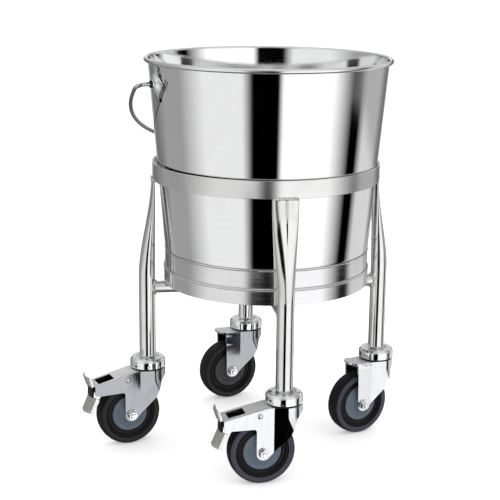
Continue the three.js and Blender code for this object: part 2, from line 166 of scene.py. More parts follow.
def feed(tree, sockets, values):
    """Gives each socket its value: a plain one is set, another node's output is wired."""
    for socket, value in zip(sockets, values):
        if isinstance(value, bpy.types.NodeSocket):
            wire(tree, value, socket)
        else:
            socket.default_value = value


def arithmetic(tree, operation, *values, clamp=False):
    made = put(tree, "ShaderNodeMath", {"operation": operation, "use_clamp": clamp})
    feed(tree, made.inputs, values)
    return made.outputs[0]


def mix_colours(tree, factor, first, second):
    """Mixes two colours; a Mix node keeps its colour sockets after those of its other kinds."""
    made = put(tree, "ShaderNodeMix", {"data_type": "RGBA"})
    feed(tree, (made.inputs[0], made.inputs[6], made.inputs[7]), (factor, first, second))
    return made.outputs[2]


def new_group(name, inputs, outputs):
    """An empty shader group with number or vector inputs, given as (name, value) pairs."""
    group = bpy.data.node_groups.new(name, "ShaderNodeTree")
    for label, value in inputs:
        kind = "NodeSocketVector" if isinstance(value, tuple) else "NodeSocketFloat"
        socket = group.interface.new_socket(label, in_out="INPUT", socket_type=kind)
        socket.default_value = value
    for label in outputs:
        group.interface.new_socket(label, in_out="OUTPUT", socket_type="NodeSocketFloat")
    entry = group.nodes.new("NodeGroupInput")
    leave = group.nodes.new("NodeGroupOutput")
    return group, entry, leave


def place_group(tree, group, **values):
    made = tree.nodes.new("ShaderNodeGroup")
    made.node_tree = group
    for key, value in values.items():
        made.inputs[key.replace("_", " ")].default_value = value
    return made


# ---------------------------------------------------------------- shader groups
def grain_group():
    """Fine lines, drawn out along whichever axis has the smallest scale."""
    group, entry, leave = new_group("drawn_grain", [("Lines", (20.0, 20.0, 900.0))], ["Height", "Shade"])
    place = put(group, "ShaderNodeTexCoord")
    stretch = put(group, "ShaderNodeVectorMath", {"operation": "MULTIPLY"})
    wire(group, place.outputs["Object"], stretch.inputs[0])
    wire(group, entry.outputs["Lines"], stretch.inputs[1])
    fine = put(group, "ShaderNodeTexNoise", Scale=1.0, Detail=3.0, Roughness=0.6)
    wire(group, stretch.outputs[0], fine.inputs["Vector"])
    slow = put(group, "ShaderNodeTexNoise", Scale=0.13, Detail=2.0)
    wire(group, stretch.outputs[0], slow.inputs["Vector"])
    wire(group, fine.outputs["Fac"], leave.inputs["Height"])
    wire(group, slow.outputs["Fac"], leave.inputs["Shade"])
    return group


def smudge_group():
    """Soft patches where hands and cloths have dulled the surface."""
    group, entry, leave = new_group("handling_smudges", [("Size", 9.0), ("Amount", 0.5)], ["Mask"])
    place = put(group, "ShaderNodeTexCoord")
    broad = put(group, "ShaderNodeTexNoise", Detail=5.0, Roughness=0.62, Distortion=0.8)
    wire(group, place.outputs["Object"], broad.inputs["Vector"])
    wire(group, entry.outputs["Size"], broad.inputs["Scale"])
    patch = ramp(group, [(0.46, 0.0), (0.66, 1.0)], broad.outputs["Fac"])
    wire(group, arithmetic(group, "MULTIPLY", patch, entry.outputs["Amount"]), leave.inputs["Mask"])
    return group


def dust_group():
    """Fine dust that settles on whatever faces up."""
    group, entry, leave = new_group("settled_dust", [("Amount", 0.2)], ["Mask"])
    facing = put(group, "ShaderNodeNewGeometry")
    split = put(group, "ShaderNodeSeparateXYZ")
    wire(group, facing.outputs["Normal"], split.inputs[0])
    upward = ramp(group, [(0.55, 0.0), (0.98, 1.0)], split.outputs["Z"])
    place = put(group, "ShaderNodeTexCoord")
    speck = put(group, "ShaderNodeTexNoise", Scale=260.0, Detail=4.0, Roughness=0.7)
    wire(group, place.outputs["Object"], speck.inputs["Vector"])
    speckled = ramp(group, [(0.35, 0.2), (0.7, 1.0)], speck.outputs["Fac"])
    both = arithmetic(group, "MULTIPLY", upward, speckled)
    wire(group, arithmetic(group, "MULTIPLY", both, entry.outputs["Amount"]), leave.inputs["Mask"])
    return group


def edge_group():
    """Worn or burnished edges, broken up so that they are not an even line."""
    group, entry, leave = new_group("worn_edges", [("Amount", 0.5)], ["Mask"])
    shape = put(group, "ShaderNodeNewGeometry")
    ridge = ramp(group, [(0.52, 0.0), (0.6, 1.0)], shape.outputs["Pointiness"])
    place = put(group, "ShaderNodeTexCoord")
    broken = put(group, "ShaderNodeTexNoise", Scale=140.0, Detail=3.0)
    wire(group, place.outputs["Object"], broken.inputs["Vector"])
    chipped = ramp(group, [(0.4, 0.35), (0.6, 1.0)], broken.outputs["Fac"])
    both = arithmetic(group, "MULTIPLY", ridge, chipped)
    wire(group, arithmetic(group, "MULTIPLY", both, entry.outputs["Amount"]), leave.inputs["Mask"])
    return group


def moulding_group():
    """The fine pebbled skin of moulded plastic and rubber, with a slow change of shade."""
    group, entry, leave = new_group("moulded_skin", [("Size", 900.0)], ["Height", "Shade"])
    place = put(group, "ShaderNodeTexCoord")
    pebble = put(group, "ShaderNodeTexVoronoi", {"feature": "SMOOTH_F1"}, Smoothness=0.7)
    wire(group, place.outputs["Object"], pebble.inputs["Vector"])
    wire(group, entry.outputs["Size"], pebble.inputs["Scale"])
    slow = put(group, "ShaderNodeTexNoise", Scale=34.0, Detail=4.0)
    wire(group, place.outputs["Object"], slow.inputs["Vector"])
    wire(group, pebble.outputs["Distance"], leave.inputs["Height"])
    wire(group, slow.outputs["Fac"], leave.inputs["Shade"])
    return group


groups = {
    "grain": grain_group(),
    "smudge": smudge_group(),
    "dust": dust_group(),
    "edge": edge_group(),
    "moulding": moulding_group(),
}


# ---------------------------------------------------------------- materials
metal_dust = (0.62, 0.61, 0.6, 1)
plastic_dust = (0.4, 0.39, 0.38, 1)
bump_depth = 0.0002


def new_material(name):
    material = bpy.data.materials.new(name)
    material.use_nodes = True
    tree = material.node_tree
    return material, tree, tree.nodes["Principled BSDF"]


def shade(colour, factor):
    """A colour made lighter or darker, with its fourth value for a socket."""
    return tuple(min(1.0, value * factor) for value in colour) + (1,)


def metal_finish(name, colour, polish, lines, grain_bump, grain_shade, smudge, smudge_size, dust,
                 haze=0.06, burnish=0.3):
    """A bare or plated metal: drawn grain, dulled patches, dust on top and burnished edges."""
    material, tree, shader = new_material(name)
    shader.inputs["Metallic"].default_value = 1.0
    grain = place_group(tree, groups["grain"], Lines=lines)
    patches = place_group(tree, groups["smudge"], Size=smudge_size, Amount=smudge)
    settled = place_group(tree, groups["dust"], Amount=dust)
    edges = place_group(tree, groups["edge"], Amount=burnish)
    streaked = mix_colours(tree, grain.outputs["Shade"],
                           shade(colour, 1 - grain_shade), shade(colour, 1 + grain_shade))
    dulled = mix_colours(tree, patches.outputs["Mask"], streaked, shade(colour, 0.86))
    bright = mix_colours(tree, edges.outputs["Mask"], dulled, shade(colour, 1.12))
    dusty = mix_colours(tree, settled.outputs["Mask"], bright, metal_dust)
    wire(tree, dusty, shader.inputs["Base Color"])
    rough = arithmetic(tree, "MULTIPLY_ADD", patches.outputs["Mask"], haze, polish)
    grained = arithmetic(tree, "MULTIPLY_ADD", grain.outputs["Height"], polish * 0.5, rough)
    total = arithmetic(tree, "MULTIPLY_ADD", settled.outputs["Mask"], 0.4, grained, clamp=True)
    wire(tree, total, shader.inputs["Roughness"])
    bump = put(tree, "ShaderNodeBump", Strength=grain_bump, Distance=bump_depth)
    wire(tree, grain.outputs["Height"], bump.inputs["Height"])
    wire(tree, bump.outputs["Normal"], shader.inputs["Normal"])
    return material


def moulded_finish(name, colour, shine, pebble, pebble_size, variation, dust, edge_colour, gloss):
    """Plastic or rubber: pebbled skin, uneven shade, dust and scuffed edges."""
    material, tree, shader = new_material(name)
    shader.inputs["Specular IOR Level"].default_value = gloss
    skin = place_group(tree, groups["moulding"], Size=pebble_size)
    settled = place_group(tree, groups["dust"], Amount=dust)
    edges = place_group(tree, groups["edge"], Amount=0.5)
    patches = place_group(tree, groups["smudge"], Size=30.0, Amount=0.5)
    mottled = mix_colours(tree, skin.outputs["Shade"],
                          shade(colour, 1 - variation), shade(colour, 1 + variation))
    scuffed = mix_colours(tree, edges.outputs["Mask"], mottled, edge_colour + (1,))
    dusty = mix_colours(tree, settled.outputs["Mask"], scuffed, plastic_dust)
    wire(tree, dusty, shader.inputs["Base Color"])
    rough = arithmetic(tree, "MULTIPLY_ADD", patches.outputs["Mask"], 0.18, shine)
    wire(tree, rough, shader.inputs["Roughness"])
    bump = put(tree, "ShaderNodeBump", Strength=pebble, Distance=bump_depth)
    wire(tree, skin.outputs["Height"], bump.inputs["Height"])
    wire(tree, bump.outputs["Normal"], shader.inputs["Normal"])
    return material


around = (6.0, 6.0, 1400.0)
upright = (1500.0, 1500.0, 12.0)
every_way = (300.0, 300.0, 300.0)
materials = {
    "polished_wall": metal_finish(
        "polished_wall", colour=(0.81, 0.812, 0.815), polish=0.035, lines=around, grain_bump=0.04,
        grain_shade=0.03, smudge=0.35, smudge_size=7.0, dust=0.0, haze=0.03
    ),
    "brushed_pan": metal_finish(
        "brushed_pan", colour=(0.74, 0.74, 0.75), polish=0.085, lines=around, grain_bump=0.16,
        grain_shade=0.07, smudge=0.4, smudge_size=9.0, dust=0.0, haze=0.05
    ),
    "satin_tube": metal_finish(
        "satin_tube", colour=(0.72, 0.715, 0.71), polish=0.055, lines=upright, grain_bump=0.06,
        grain_shade=0.06, smudge=0.5, smudge_size=22.0, dust=0.1, haze=0.06
    ),
    "satin_ring": metal_finish(
        "satin_ring", colour=(0.74, 0.74, 0.735), polish=0.10, lines=around, grain_bump=0.12,
        grain_shade=0.06, smudge=0.5, smudge_size=14.0, dust=0.1, haze=0.08
    ),
    "weld_metal": metal_finish(
        "weld_metal", colour=(0.76, 0.755, 0.75), polish=0.08, lines=every_way, grain_bump=0.4,
        grain_shade=0.35, smudge=0.6, smudge_size=60.0, dust=0.05, haze=0.10
    ),
    "chrome": metal_finish(
        "chrome", colour=(0.84, 0.85, 0.86), polish=0.02, lines=every_way, grain_bump=0.02,
        grain_shade=0.01, smudge=0.25, smudge_size=30.0, dust=0.1, haze=0.03
    ),
    "pressed_zinc": metal_finish(
        "pressed_zinc", colour=(0.70, 0.71, 0.73), polish=0.07, lines=upright, grain_bump=0.08,
        grain_shade=0.06, smudge=0.5, smudge_size=26.0, dust=0.12, haze=0.10
    ),
    # Painted shade: the zinc of the back and left forks, with its colour darkened.
    "pressed_zinc_painted_shade": metal_finish(
        "pressed_zinc_painted_shade", colour=(0.36, 0.37, 0.39), polish=0.07, lines=upright, grain_bump=0.08,
        grain_shade=0.06, smudge=0.5, smudge_size=26.0, dust=0.12, haze=0.10
    ),
    "satin_plate": metal_finish(
        "satin_plate", colour=(0.88, 0.88, 0.88), polish=0.50, lines=upright, grain_bump=0.08,
        grain_shade=0.06, smudge=0.5, smudge_size=26.0, dust=0.12, haze=0.08
    ),
    "zinc": metal_finish(
        "zinc", colour=(0.80, 0.81, 0.82), polish=0.045, lines=every_way, grain_bump=0.05,
        grain_shade=0.04, smudge=0.4, smudge_size=60.0, dust=0.05, haze=0.05
    ),
    # Painted shade: the bail wire's colour is darkened to stand for the dark reflections along the thin
    # wire.
    "bail_steel_painted_shade": metal_finish(
        "bail_steel_painted_shade", colour=(0.46, 0.46, 0.46), polish=0.05, lines=every_way, grain_bump=0.05,
        grain_shade=0.04, smudge=0.4, smudge_size=30.0, dust=0.05, haze=0.05
    ),
    "bright_wire": metal_finish(
        "bright_wire", colour=(0.72, 0.72, 0.72), polish=0.06, lines=every_way, grain_bump=0.06,
        grain_shade=0.04, smudge=0.4, smudge_size=30.0, dust=0.05, haze=0.06
    ),
    "tyre": moulded_finish(
        "tyre_rubber", colour=(0.006, 0.006, 0.008), shine=0.50, pebble=0.25, pebble_size=1100.0,
        variation=0.25, dust=0.03, edge_colour=(0.018, 0.018, 0.021), gloss=0.14
    ),
    # Painted sheen: the tyre side walls get a lighter violet grey that stands for the soft reflection
    # along them.
    "tyre_wall_painted_sheen": moulded_finish(
        "tyre_side_wall_painted_sheen", colour=(0.040, 0.037, 0.056), shine=0.42, pebble=0.15, pebble_size=1100.0,
        variation=0.20, dust=0.04, edge_colour=(0.07, 0.065, 0.08), gloss=0.30
    ),
    # Painted shade: the side walls of the back and left tyres, darkened.
    "tyre_wall_painted_shade": moulded_finish(
        "tyre_side_wall_painted_shade", colour=(0.012, 0.012, 0.014), shine=0.42, pebble=0.15,
        pebble_size=1100.0, variation=0.20, dust=0.03, edge_colour=(0.028, 0.027, 0.031),
        gloss=0.25
    ),
    "hub": moulded_finish(
        "hub_plastic", colour=(0.085, 0.112, 0.145), shine=0.32, pebble=0.12, pebble_size=1500.0,
        variation=0.10, dust=0.03, edge_colour=(0.14, 0.17, 0.21), gloss=0.35
    ),
    # Painted shade: the hub disc of the back wheel in a dark grey.
    "hub_painted_shade": moulded_finish(
        "hub_plastic_painted_shade", colour=(0.040, 0.037, 0.038), shine=0.35, pebble=0.12,
        pebble_size=1500.0, variation=0.10, dust=0.03, edge_colour=(0.08, 0.075, 0.075), gloss=0.30
    ),
    # Black plastic and rubber; it is also used as painted shade on the pedal arms and on the rings at the
    # ear bosses.
    "black": moulded_finish(
        "black_plastic_and_painted_shade", colour=(0.005, 0.005, 0.006), shine=0.45, pebble=0.2, pebble_size=1300.0,
        variation=0.2, dust=0.03, edge_colour=(0.02, 0.02, 0.022), gloss=0.20
    ),
    "pad": moulded_finish(
        "pedal_pad", colour=(0.27, 0.265, 0.24), shine=0.40, pebble=0.3, pebble_size=1300.0,
        variation=0.12, dust=0.1, edge_colour=(0.42, 0.41, 0.38), gloss=0.40
    ),
}


# ---------------------------------------------------------------- mesh helpers
def piece(name, mesh, material, body, slot, *nodes, place=None, crease=38):
    """A finished object, smooth except across real edges.

    It rides on a body, takes its finish from the material named and stands for the nodes named. The slot
    is not used."""
    if place is not None:
        mesh.transform(place)
    made = bpy.data.objects.new(name, mesh)
    bpy.context.scene.collection.objects.link(made)
    mesh.materials.append(materials[material])
    mesh.shade_smooth()
    mesh.set_sharp_from_angle(angle=math.radians(crease))
    steady = made.modifiers.new("even_shading", "WEIGHTED_NORMAL")
    steady.keep_sharp = True
    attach(made, body)
    if nodes:
        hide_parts(*nodes)
    return made


def finished(name, work):
    """Turns a mesh being worked on into a real one."""
    mesh = bpy.data.meshes.new(name)
    work.to_mesh(mesh)
    work.free()
    return mesh


real_edge = 0.9            # radians: a sharper fold than this is an edge to be rounded


def soften(work, width, segments=2):
    """Rounds every real edge of a mesh being worked on."""
    sharp = [e for e in work.edges if len(e.link_faces) == 2 and e.calc_face_angle() > real_edge]
    bmesh.ops.bevel(work, geom=sharp, offset=width, segments=segments, profile=0.5, affect="EDGES",
                    clamp_overlap=True)


def closed_mesh(name, points, faces):
    """Joins doubled points, drops empty faces and turns the rest outward."""
    work = bmesh.new()
    corners = [work.verts.new(point) for point in points]
    for face in faces:
        loop = []
        for index in face:
            if corners[index] not in loop:
                loop.append(corners[index])
        if len(loop) > 2:
            work.faces.new(loop)
    bmesh.ops.remove_doubles(work, verts=work.verts, dist=1e-7)
    bmesh.ops.recalc_face_normals(work, faces=work.faces)
    return finished(name, work)


def cells(rows, count, loop=False):
    """Corner numbers of the cells between neighbouring rows of points, count to a row."""
    for i in range(rows if loop else rows - 1):
        j = (i + 1) % rows
        for k in range(count):
            m = (k + 1) % count
            yield i * count + k, i * count + m, j * count + m, j * count + k


def rounded(corners, steps=5):
    """Rounds each (a, b, radius) corner of a closed outline."""
    outline = []
    count = len(corners)
    for i, (a, b, radius) in enumerate(corners):
        here = Vector((a, b))
        if radius == 0:
            outline.append((a, b))
            continue
        before = Vector(corners[i - 1][:2]) - here
        after = Vector(corners[(i + 1) % count][:2]) - here
        reach = radius / math.tan(before.angle(after) / 2)
        reach = min(reach, 0.49 * before.length, 0.49 * after.length)
        start = here + before.normalized() * reach
        end = here + after.normalized() * reach
        for step in range(steps + 1):
            t = step / steps
            point = start * (1 - t) ** 2 + here * 2 * t * (1 - t) + end * t ** 2
            outline.append((point.x, point.y))
    return outline


def mirrored(half, middle=()):
    """Corners of half an outline, any in the middle, and the same half beyond the middle."""
    return half + list(middle) + [(a, -b, radius) for a, b, radius in reversed(half)]


def arc(a, b, radius, start, end, steps):
    """Points of a circular arc, angles in degrees."""
    found = []
    for step in range(steps + 1):
        angle = math.radians(start + (end - start) * step / steps)
        found.append((a + radius * math.cos(angle), b + radius * math.sin(angle)))
    return found


def turned(name, outline, segments=128, angles=None, shift=None):
    """Turns a closed (radius, height) outline about Z. shift(angle, r, z) moves a point."""
    angles = angles or [math.tau * i / segments for i in range(segments)]
    points = []
    for angle in angles:
        for radius, height in outline:
            r, z = shift(angle, radius, height) if shift and radius > 0 else (radius, height)
            points.append((r * math.cos(angle), r * math.sin(angle), z))
    faces = [(a, d, c, b) for a, b, c, d in cells(len(angles), len(outline), loop=True)]
    return closed_mesh(name, points, faces)


def swept(name, path, radius, facets=20, closed=False, swell=None):
    """A round bar along a path; swell(i, k) scales the radius at a step and side."""
    count = len(path)
    points = []
    normal = None
    for i, here in enumerate(path):
        if closed:
            ahead = (path[(i + 1) % count] - path[i - 1]).normalized()
        else:
            ahead = (path[min(i + 1, count - 1)] - path[max(i - 1, 0)]).normalized()
        if normal is None:
            normal = ahead.orthogonal().normalized()
        normal = (normal - ahead * normal.dot(ahead)).normalized()
        across = ahead.cross(normal)
        for k in range(facets):
            angle = math.tau * k / facets
            size = radius * (swell(i, k) if swell else 1)
            points.append(here + (normal * math.cos(angle) + across * math.sin(angle)) * size)
    faces = list(cells(count, facets, loop=closed))
    if not closed:
        faces.append(tuple(range(facets)))
        faces.append(tuple(range((count - 1) * facets, count * facets)))
    return closed_mesh(name, points, faces)


def slab(name, outline, thickness, edge=0.4 * mm, cuts=(), bend=None, segments=2):
    """Thickens an outline drawn in X and Z about y = 0, with softened edges.

    cuts are (axis, value) planes that let bend(point) curve the finished plate."""
    work = bmesh.new()
    face = work.faces.new([work.verts.new((a, -thickness / 2, b)) for a, b in outline])
    if face.normal.y > 0:
        face.normal_flip()
    for axis, value in cuts:
        normal = (1, 0, 0) if axis == "x" else (0, 0, 1)
        bmesh.ops.bisect_plane(work, geom=work.verts[:] + work.edges[:] + work.faces[:],
                               plane_co=Vector(normal) * value, plane_no=normal)
    grown = bmesh.ops.extrude_face_region(work, geom=work.faces[:])
    lifted = [item for item in grown["geom"] if isinstance(item, bmesh.types.BMVert)]
    bmesh.ops.translate(work, verts=lifted, vec=(0, thickness, 0))
    bmesh.ops.recalc_face_normals(work, faces=work.faces)
    soften(work, edge, segments)
    if bend:
        for corner in work.verts:
            corner.co = bend(corner.co)
    bmesh.ops.triangulate(work, faces=[f for f in work.faces if len(f.verts) > 4])
    return finished(name, work)


def joined(name, *meshes):
    """One mesh holding several closed shells."""
    work = bmesh.new()
    for mesh in meshes:
        work.from_mesh(mesh)
        bpy.data.meshes.remove(mesh)
    return finished(name, work)


def lumps(place, size, depth):
    """A repeatable uneven factor for weld metal."""
    return 1 + depth * noise.noise(Vector(place) * size)


def smooth_step(low, high, value):
    t = min(1, max(0, (value - low) / (high - low)))
    return t * t * (3 - 2 * t)


# ---------------------------------------------------------------- bucket
on_bucket_axis = Matrix.Translation((bucket_axis.x, bucket_axis.y, 0))
ear_angle = math.atan2(bail_axis.y, bail_axis.x) + math.pi
seam_angle = ear_angle + math.radians(9.3)


def wall_angles(segments):
    """Even steps round the wall, with narrow ones at the welded seam."""
    seam_half = math.radians(0.22)
    steps = [math.tau * i / segments for i in range(segments)]
    clear = [a for a in steps if abs(math.remainder(a - seam_angle, math.tau)) > 2.5 * seam_half]
    seam = [(seam_angle + k * seam_half) % math.tau for k in (-2, -1, 0, 1, 2)]
    return sorted(clear + seam)


def seam_groove(angle, radius, height):
    away = abs(math.remainder(angle - seam_angle, math.tau))
    return radius - 0.22 * mm * math.exp(-(away / math.radians(0.2)) ** 2), height


def make_bucket_shell():
    lap_outer = pan_radius - sheet - 0.5 * mm
    joggle = pan_edge + 2.7 * mm
    outline = [
        (lap_outer - sheet, pan_edge - 12 * mm),
        (lap_outer, pan_edge - 12 * mm),
        (lap_outer, pan_edge + 0.3 * mm),
        ((lap_outer + wall_radius(joggle)) / 2 + 0.5 * mm, pan_edge + 0.8 * mm),
        (wall_radius(joggle), joggle),
    ]
    levels = 14
    for level in range(1, levels):
        height = joggle + (curl_height - joggle) * level / levels
        outline.append((wall_radius(height), height))
    curl_inner = curl_outer - sheet
    outline += arc(curl_radius, curl_height, curl_inner, 180, -120, 20)
    outline += arc(curl_radius, curl_height, curl_outer, -120, 180, 24)
    for level in range(levels - 1, 0, -1):
        height = joggle + (curl_height - joggle) * level / levels
        outline.append((wall_radius(height) - sheet, height))
    outline += [(wall_radius(joggle) - sheet, joggle), (lap_outer - sheet, pan_edge + 0.3 * mm)]
    mesh = turned("bucket_wall", outline, angles=wall_angles(192), shift=seam_groove)
    piece("bucket_wall", mesh, "polished_wall",
          "bucket", "bucket_steel", "bucket_shell", place=on_bucket_axis, crease=50)


def make_bucket_pan():
    inner = pan_radius - sheet
    lip = 0.5 * mm
    outline = rounded([
        (0, pan_floor, 0),
        (pan_radius, pan_floor, 4 * mm),
        (pan_radius, pan_edge - 3 * mm, 0.4 * mm),
        (pan_radius + 0.9 * mm, pan_edge - 1.5 * mm, 0.8 * mm),
        (pan_radius + lip, pan_edge, lip),
        (inner, pan_edge, lip),
        (inner, pan_floor + sheet, 3 * mm),
        (0, pan_floor + sheet, 0),
    ])
    mesh = turned("bucket_lower_pan", outline, segments=192)
    piece("bucket_lower_pan", mesh, "brushed_pan",
          "bucket", "bucket_steel", "bucket_pan", place=on_bucket_axis, crease=50)


def make_foot_ring():
    inner = pan_radius + 0.4 * mm
    outer = inner + sheet
    bead_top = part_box("foot_ring")[1].z
    corners = [
        (inner, bucket_base, 0.4 * mm),
        (outer, bucket_base, 0.5 * mm),
        (outer, bead_top - 4.2 * mm, 0.6 * mm),
        (outer + 1.1 * mm, bead_top - 3.2 * mm, 0.8 * mm),
        (outer, bead_top - 2.1 * mm, 0.5 * mm),
        (outer + 1.1 * mm, bead_top - 1.0 * mm, 0.8 * mm),
        (outer, bead_top, 0.5 * mm),
        (inner, bead_top, 0.3 * mm),
    ]
    mesh = turned("bucket_foot_band", rounded(corners), segments=192)
    piece("bucket_foot_band", mesh, "brushed_pan",
          "bucket", "bucket_steel", "foot_ring", place=on_bucket_axis, crease=50)


def ear_outline():
    """A plate with a short neck, two shoulders and a tail."""
    half = 19 * mm
    tall = 27 * mm
    side = [
        (0.34 * half, tall), (0.36 * half, 0.70 * tall), (0.62 * half, 0.36 * tall),
        (1.0 * half, 0.08 * tall), (1.0 * half, -0.14 * tall), (0.60 * half, -0.46 * tall),
        (0.28 * half, -0.70 * tall), (0.26 * half, -1.02 * tall),
    ]
    right = [(a, b, 3 * mm) for a, b in side]
    left = [(-a, b, 3 * mm) for a, b in reversed(side)]
    return rounded(right + left, steps=4)


def make_ear(node, angle):
    """The ear lies on the cone and swells into a dome that takes the end of the bail."""
    pivot_wall = wall_radius(bail_pivot.z) + 0.25 * mm
    plate_thick = 2 * mm
    cuts = [("x", k * 2 * mm) for k in range(-9, 10)] + [("z", k * 2 * mm) for k in range(-13, 14)]

    def wrap(point):
        away = math.hypot(point.x / (12.5 * mm), point.z / (15 * mm))
        dome = 6.4 * mm * math.exp(-away ** 3)
        base = pivot_wall + point.z * wall_slope + 0.3 * mm + plate_thick / 2
        turn = point.x / base
        out = base + point.y + dome
        return Vector((out * math.cos(turn), out * math.sin(turn), point.z))

    plate = slab("ear_plate", ear_outline(), plate_thick, edge=0.7 * mm, cuts=cuts, bend=wrap, segments=3)
    boss_length = 10.2 * mm
    hole = 3.4 * mm
    collar = rounded([
        (hole, 3 * mm, 0),
        (6.4 * mm, 3 * mm, 0),
        (5.8 * mm, boss_length - 1.2 * mm, 1.0 * mm),
        (5.0 * mm, boss_length, 0.8 * mm),
        (hole, boss_length, 0.5 * mm),
    ])
    boss = turned("ear_boss", collar, segments=64)
    outward = Matrix.Translation((pivot_wall, 0, 0)) @ Matrix.Rotation(math.pi / 2, 4, "Y")
    boss.transform(outward)
    mesh = joined(node + "_formed", plate, boss)
    place = on_bucket_axis @ Matrix.Translation((0, 0, bail_pivot.z)) @ Matrix.Rotation(angle, 4, "Z")
    piece(node + "_formed", mesh, "chrome", "bucket", "bucket_steel", node, place=place)
    # A black ring round the wire at the end of the boss: painted shade standing for the dark hole where
    # the wire enters.
    shade_ring_bore = bail_wire_radius + 0.15 * mm
    shade_ring_foot = 9 * mm
    shade_ring_end = 12 * mm
    ring = rounded([
        (shade_ring_bore, shade_ring_foot, 0), (5.6 * mm, shade_ring_foot, 0), (5.4 * mm, shade_ring_end, 0.8 * mm),
        (shade_ring_bore, shade_ring_end, 0.4 * mm),
    ])
    painted_shade_ring = turned("ear_painted_shade_ring", ring, segments=48)
    piece(node + "_bush", painted_shade_ring, "black", "bucket", "black_rubber", place=place @ outward)


def bail_path():
    """One end turned in to the ear, a bend, and half of the hoop; then its mirror image."""
    away = [(Vector(point) - bail_pivot).xy.length for point in hoop_points()]
    bail_radius = max(away) - bail_wire_radius
    bend = 12 * mm
    end = wall_radius(bail_pivot.z) + 2.9 * mm
    shoulder = bail_radius - bend
    half = [(end + (shoulder - end) * i / 6, 0) for i in range(6)]
    half += arc(shoulder, bend, bend, -90, 0, 10)
    start = math.degrees(math.asin(bend * 1.6 / bail_radius))
    half += arc(0, 0, bail_radius, start, 90, 60)
    return half + [(-a, b) for a, b in reversed(half[:-1])]


def hoop_points():
    return [tuple(vertex.co) for vertex in frame["nodes"]["bail_wire"].data.vertices]


def make_bail():
    across = bail_axis.normalized()
    centre = Vector((0, 0, 0))
    for point in hoop_points():
        centre += Vector(point) - bail_pivot
    hang = (centre - across * centre.dot(across)).normalized()
    path = [bail_pivot + across * a + hang * b for a, b in bail_path()]
    mesh = swept("bail_hoop", path, bail_wire_radius, facets=24)
    # The bail takes the darkened steel, which is painted shade.
    piece("bail_hoop", mesh, "bail_steel_painted_shade", "bail", "tube_steel", "bail_wire")


# ---------------------------------------------------------------- stand
leg_turns = {"front": -90, "right": 0, "back": 90, "left": 180}
on_stand_axis = Matrix.Translation((stand_axis.x, stand_axis.y, 0))


def make_support_ring():
    corners = [
        (ring_outer - ring_bar, ring_base, 0.7 * mm),
        (ring_outer, ring_base, 0.7 * mm),
        (ring_outer, ring_top, 0.7 * mm),
        (ring_outer - ring_bar, ring_top, 0.7 * mm),
    ]
    mesh = turned("ring_band", rounded(corners, steps=3), segments=192)
    piece("ring_band", mesh, "satin_ring", "stand", "tube_steel", "support_ring", place=on_stand_axis)


def flattened_section(half_width, half_thick, fullness, crease, steps=64):
    """Outline of a tube pressed flat: fuller than an ellipse, creased down its outer side."""
    outline = []
    for way in (1, -1):
        for step in range(steps):
            turn = math.pi * (step / steps - 0.5)
            y = way * half_width * math.sin(turn)
            x = half_thick * (1 - abs(math.sin(turn)) ** fullness) ** 0.5
            dent = crease * math.exp(-(y / (1.1 * mm)) ** 2) if way > 0 else 0
            outline.append((way * x - dent, y))
    return outline


def make_leg(side):
    """Round tube in the cap, pinched to a flat blade with a crease under the ring."""
    pinch = 152 * mm
    flat_half = 19 * mm
    flat_thick = 2.8 * mm
    top = ring_base - 0.3 * mm
    pinch_start = top - pinch
    base = cap_top - 12 * mm
    flat_centre = ring_outer - ring_bar / 2 + 0.6 * mm
    steps = 40
    levels = [base, cap_top + 30 * mm] + [pinch_start + pinch * k / steps for k in range(steps)]
    levels += [top - 1.2 * mm, top - 0.3 * mm, top]
    points = []
    for height in levels:
        t = smooth_step(pinch_start, top, height)
        width = leg_radius + (flat_half - leg_radius) * t
        thick = leg_radius + (flat_thick - leg_radius) * t
        centre = leg_circle + (flat_centre - leg_circle) * t
        worn = max(0, height - top + 1 * mm) * 0.7
        crease = 1.5 * mm * t ** 5
        for x, y in flattened_section(width - worn, thick - worn, 2 + 1.6 * t, crease):
            points.append((centre + x, y, height))
    facets = len(points) // len(levels)
    faces = list(cells(len(levels), facets))
    faces.append(tuple(range(facets)))
    last = (len(levels) - 1) * facets
    faces.append(tuple(range(last, last + facets)))
    mesh = closed_mesh("leg_tube", points, faces)
    turn = on_stand_axis @ Matrix.Rotation(math.radians(leg_turns[side]), 4, "Z")
    piece(f"leg_tube_{side}", mesh, "satin_tube", "stand", "tube_steel", f"leg_{side}", place=turn)
    return turn


def make_ring_weld(side, turn):
    """A lumpy bead along the top of the pinched leg, on the ring's outer face."""
    half = 18 * mm
    steps = 72
    path = []
    for step in range(steps + 1):
        y = -half + 2 * half * step / steps
        x = math.sqrt(ring_outer ** 2 - y * y)
        sag = 0.7 * mm * noise.noise(Vector((step * 0.45, leg_turns[side] * 0.1, 0)))
        path.append(Vector((x + 0.4 * mm, y, ring_base + 0.2 * mm + sag)))

    def swell(i, k):
        ends = min(1, 0.35 + min(i, steps - i) / 5)
        blobs = 0.82 + 0.34 * abs(math.sin(i * 0.42 + 1.3 * math.sin(i * 0.17)))
        return ends * blobs * lumps((i * 0.8, math.cos(k) * 0.9, leg_turns[side]), 1.0, 0.5)

    mesh = swept("ring_weld", path, 2.1 * mm, facets=14, swell=swell)
    piece(f"ring_weld_{side}", mesh, "weld_metal", "stand", "tube_steel", place=turn, crease=70)


def saddle_path(reach, tube, other, steps):
    """The closed curve where a level tube meets an upright one at distance reach."""
    path = []
    for step in range(steps):
        angle = math.tau * step / steps
        y = tube * math.cos(angle)
        x = reach - math.sqrt(other ** 2 - y * y)
        path.append(Vector((x - 0.5 * mm, y, brace_height + tube * math.sin(angle))))
    return path


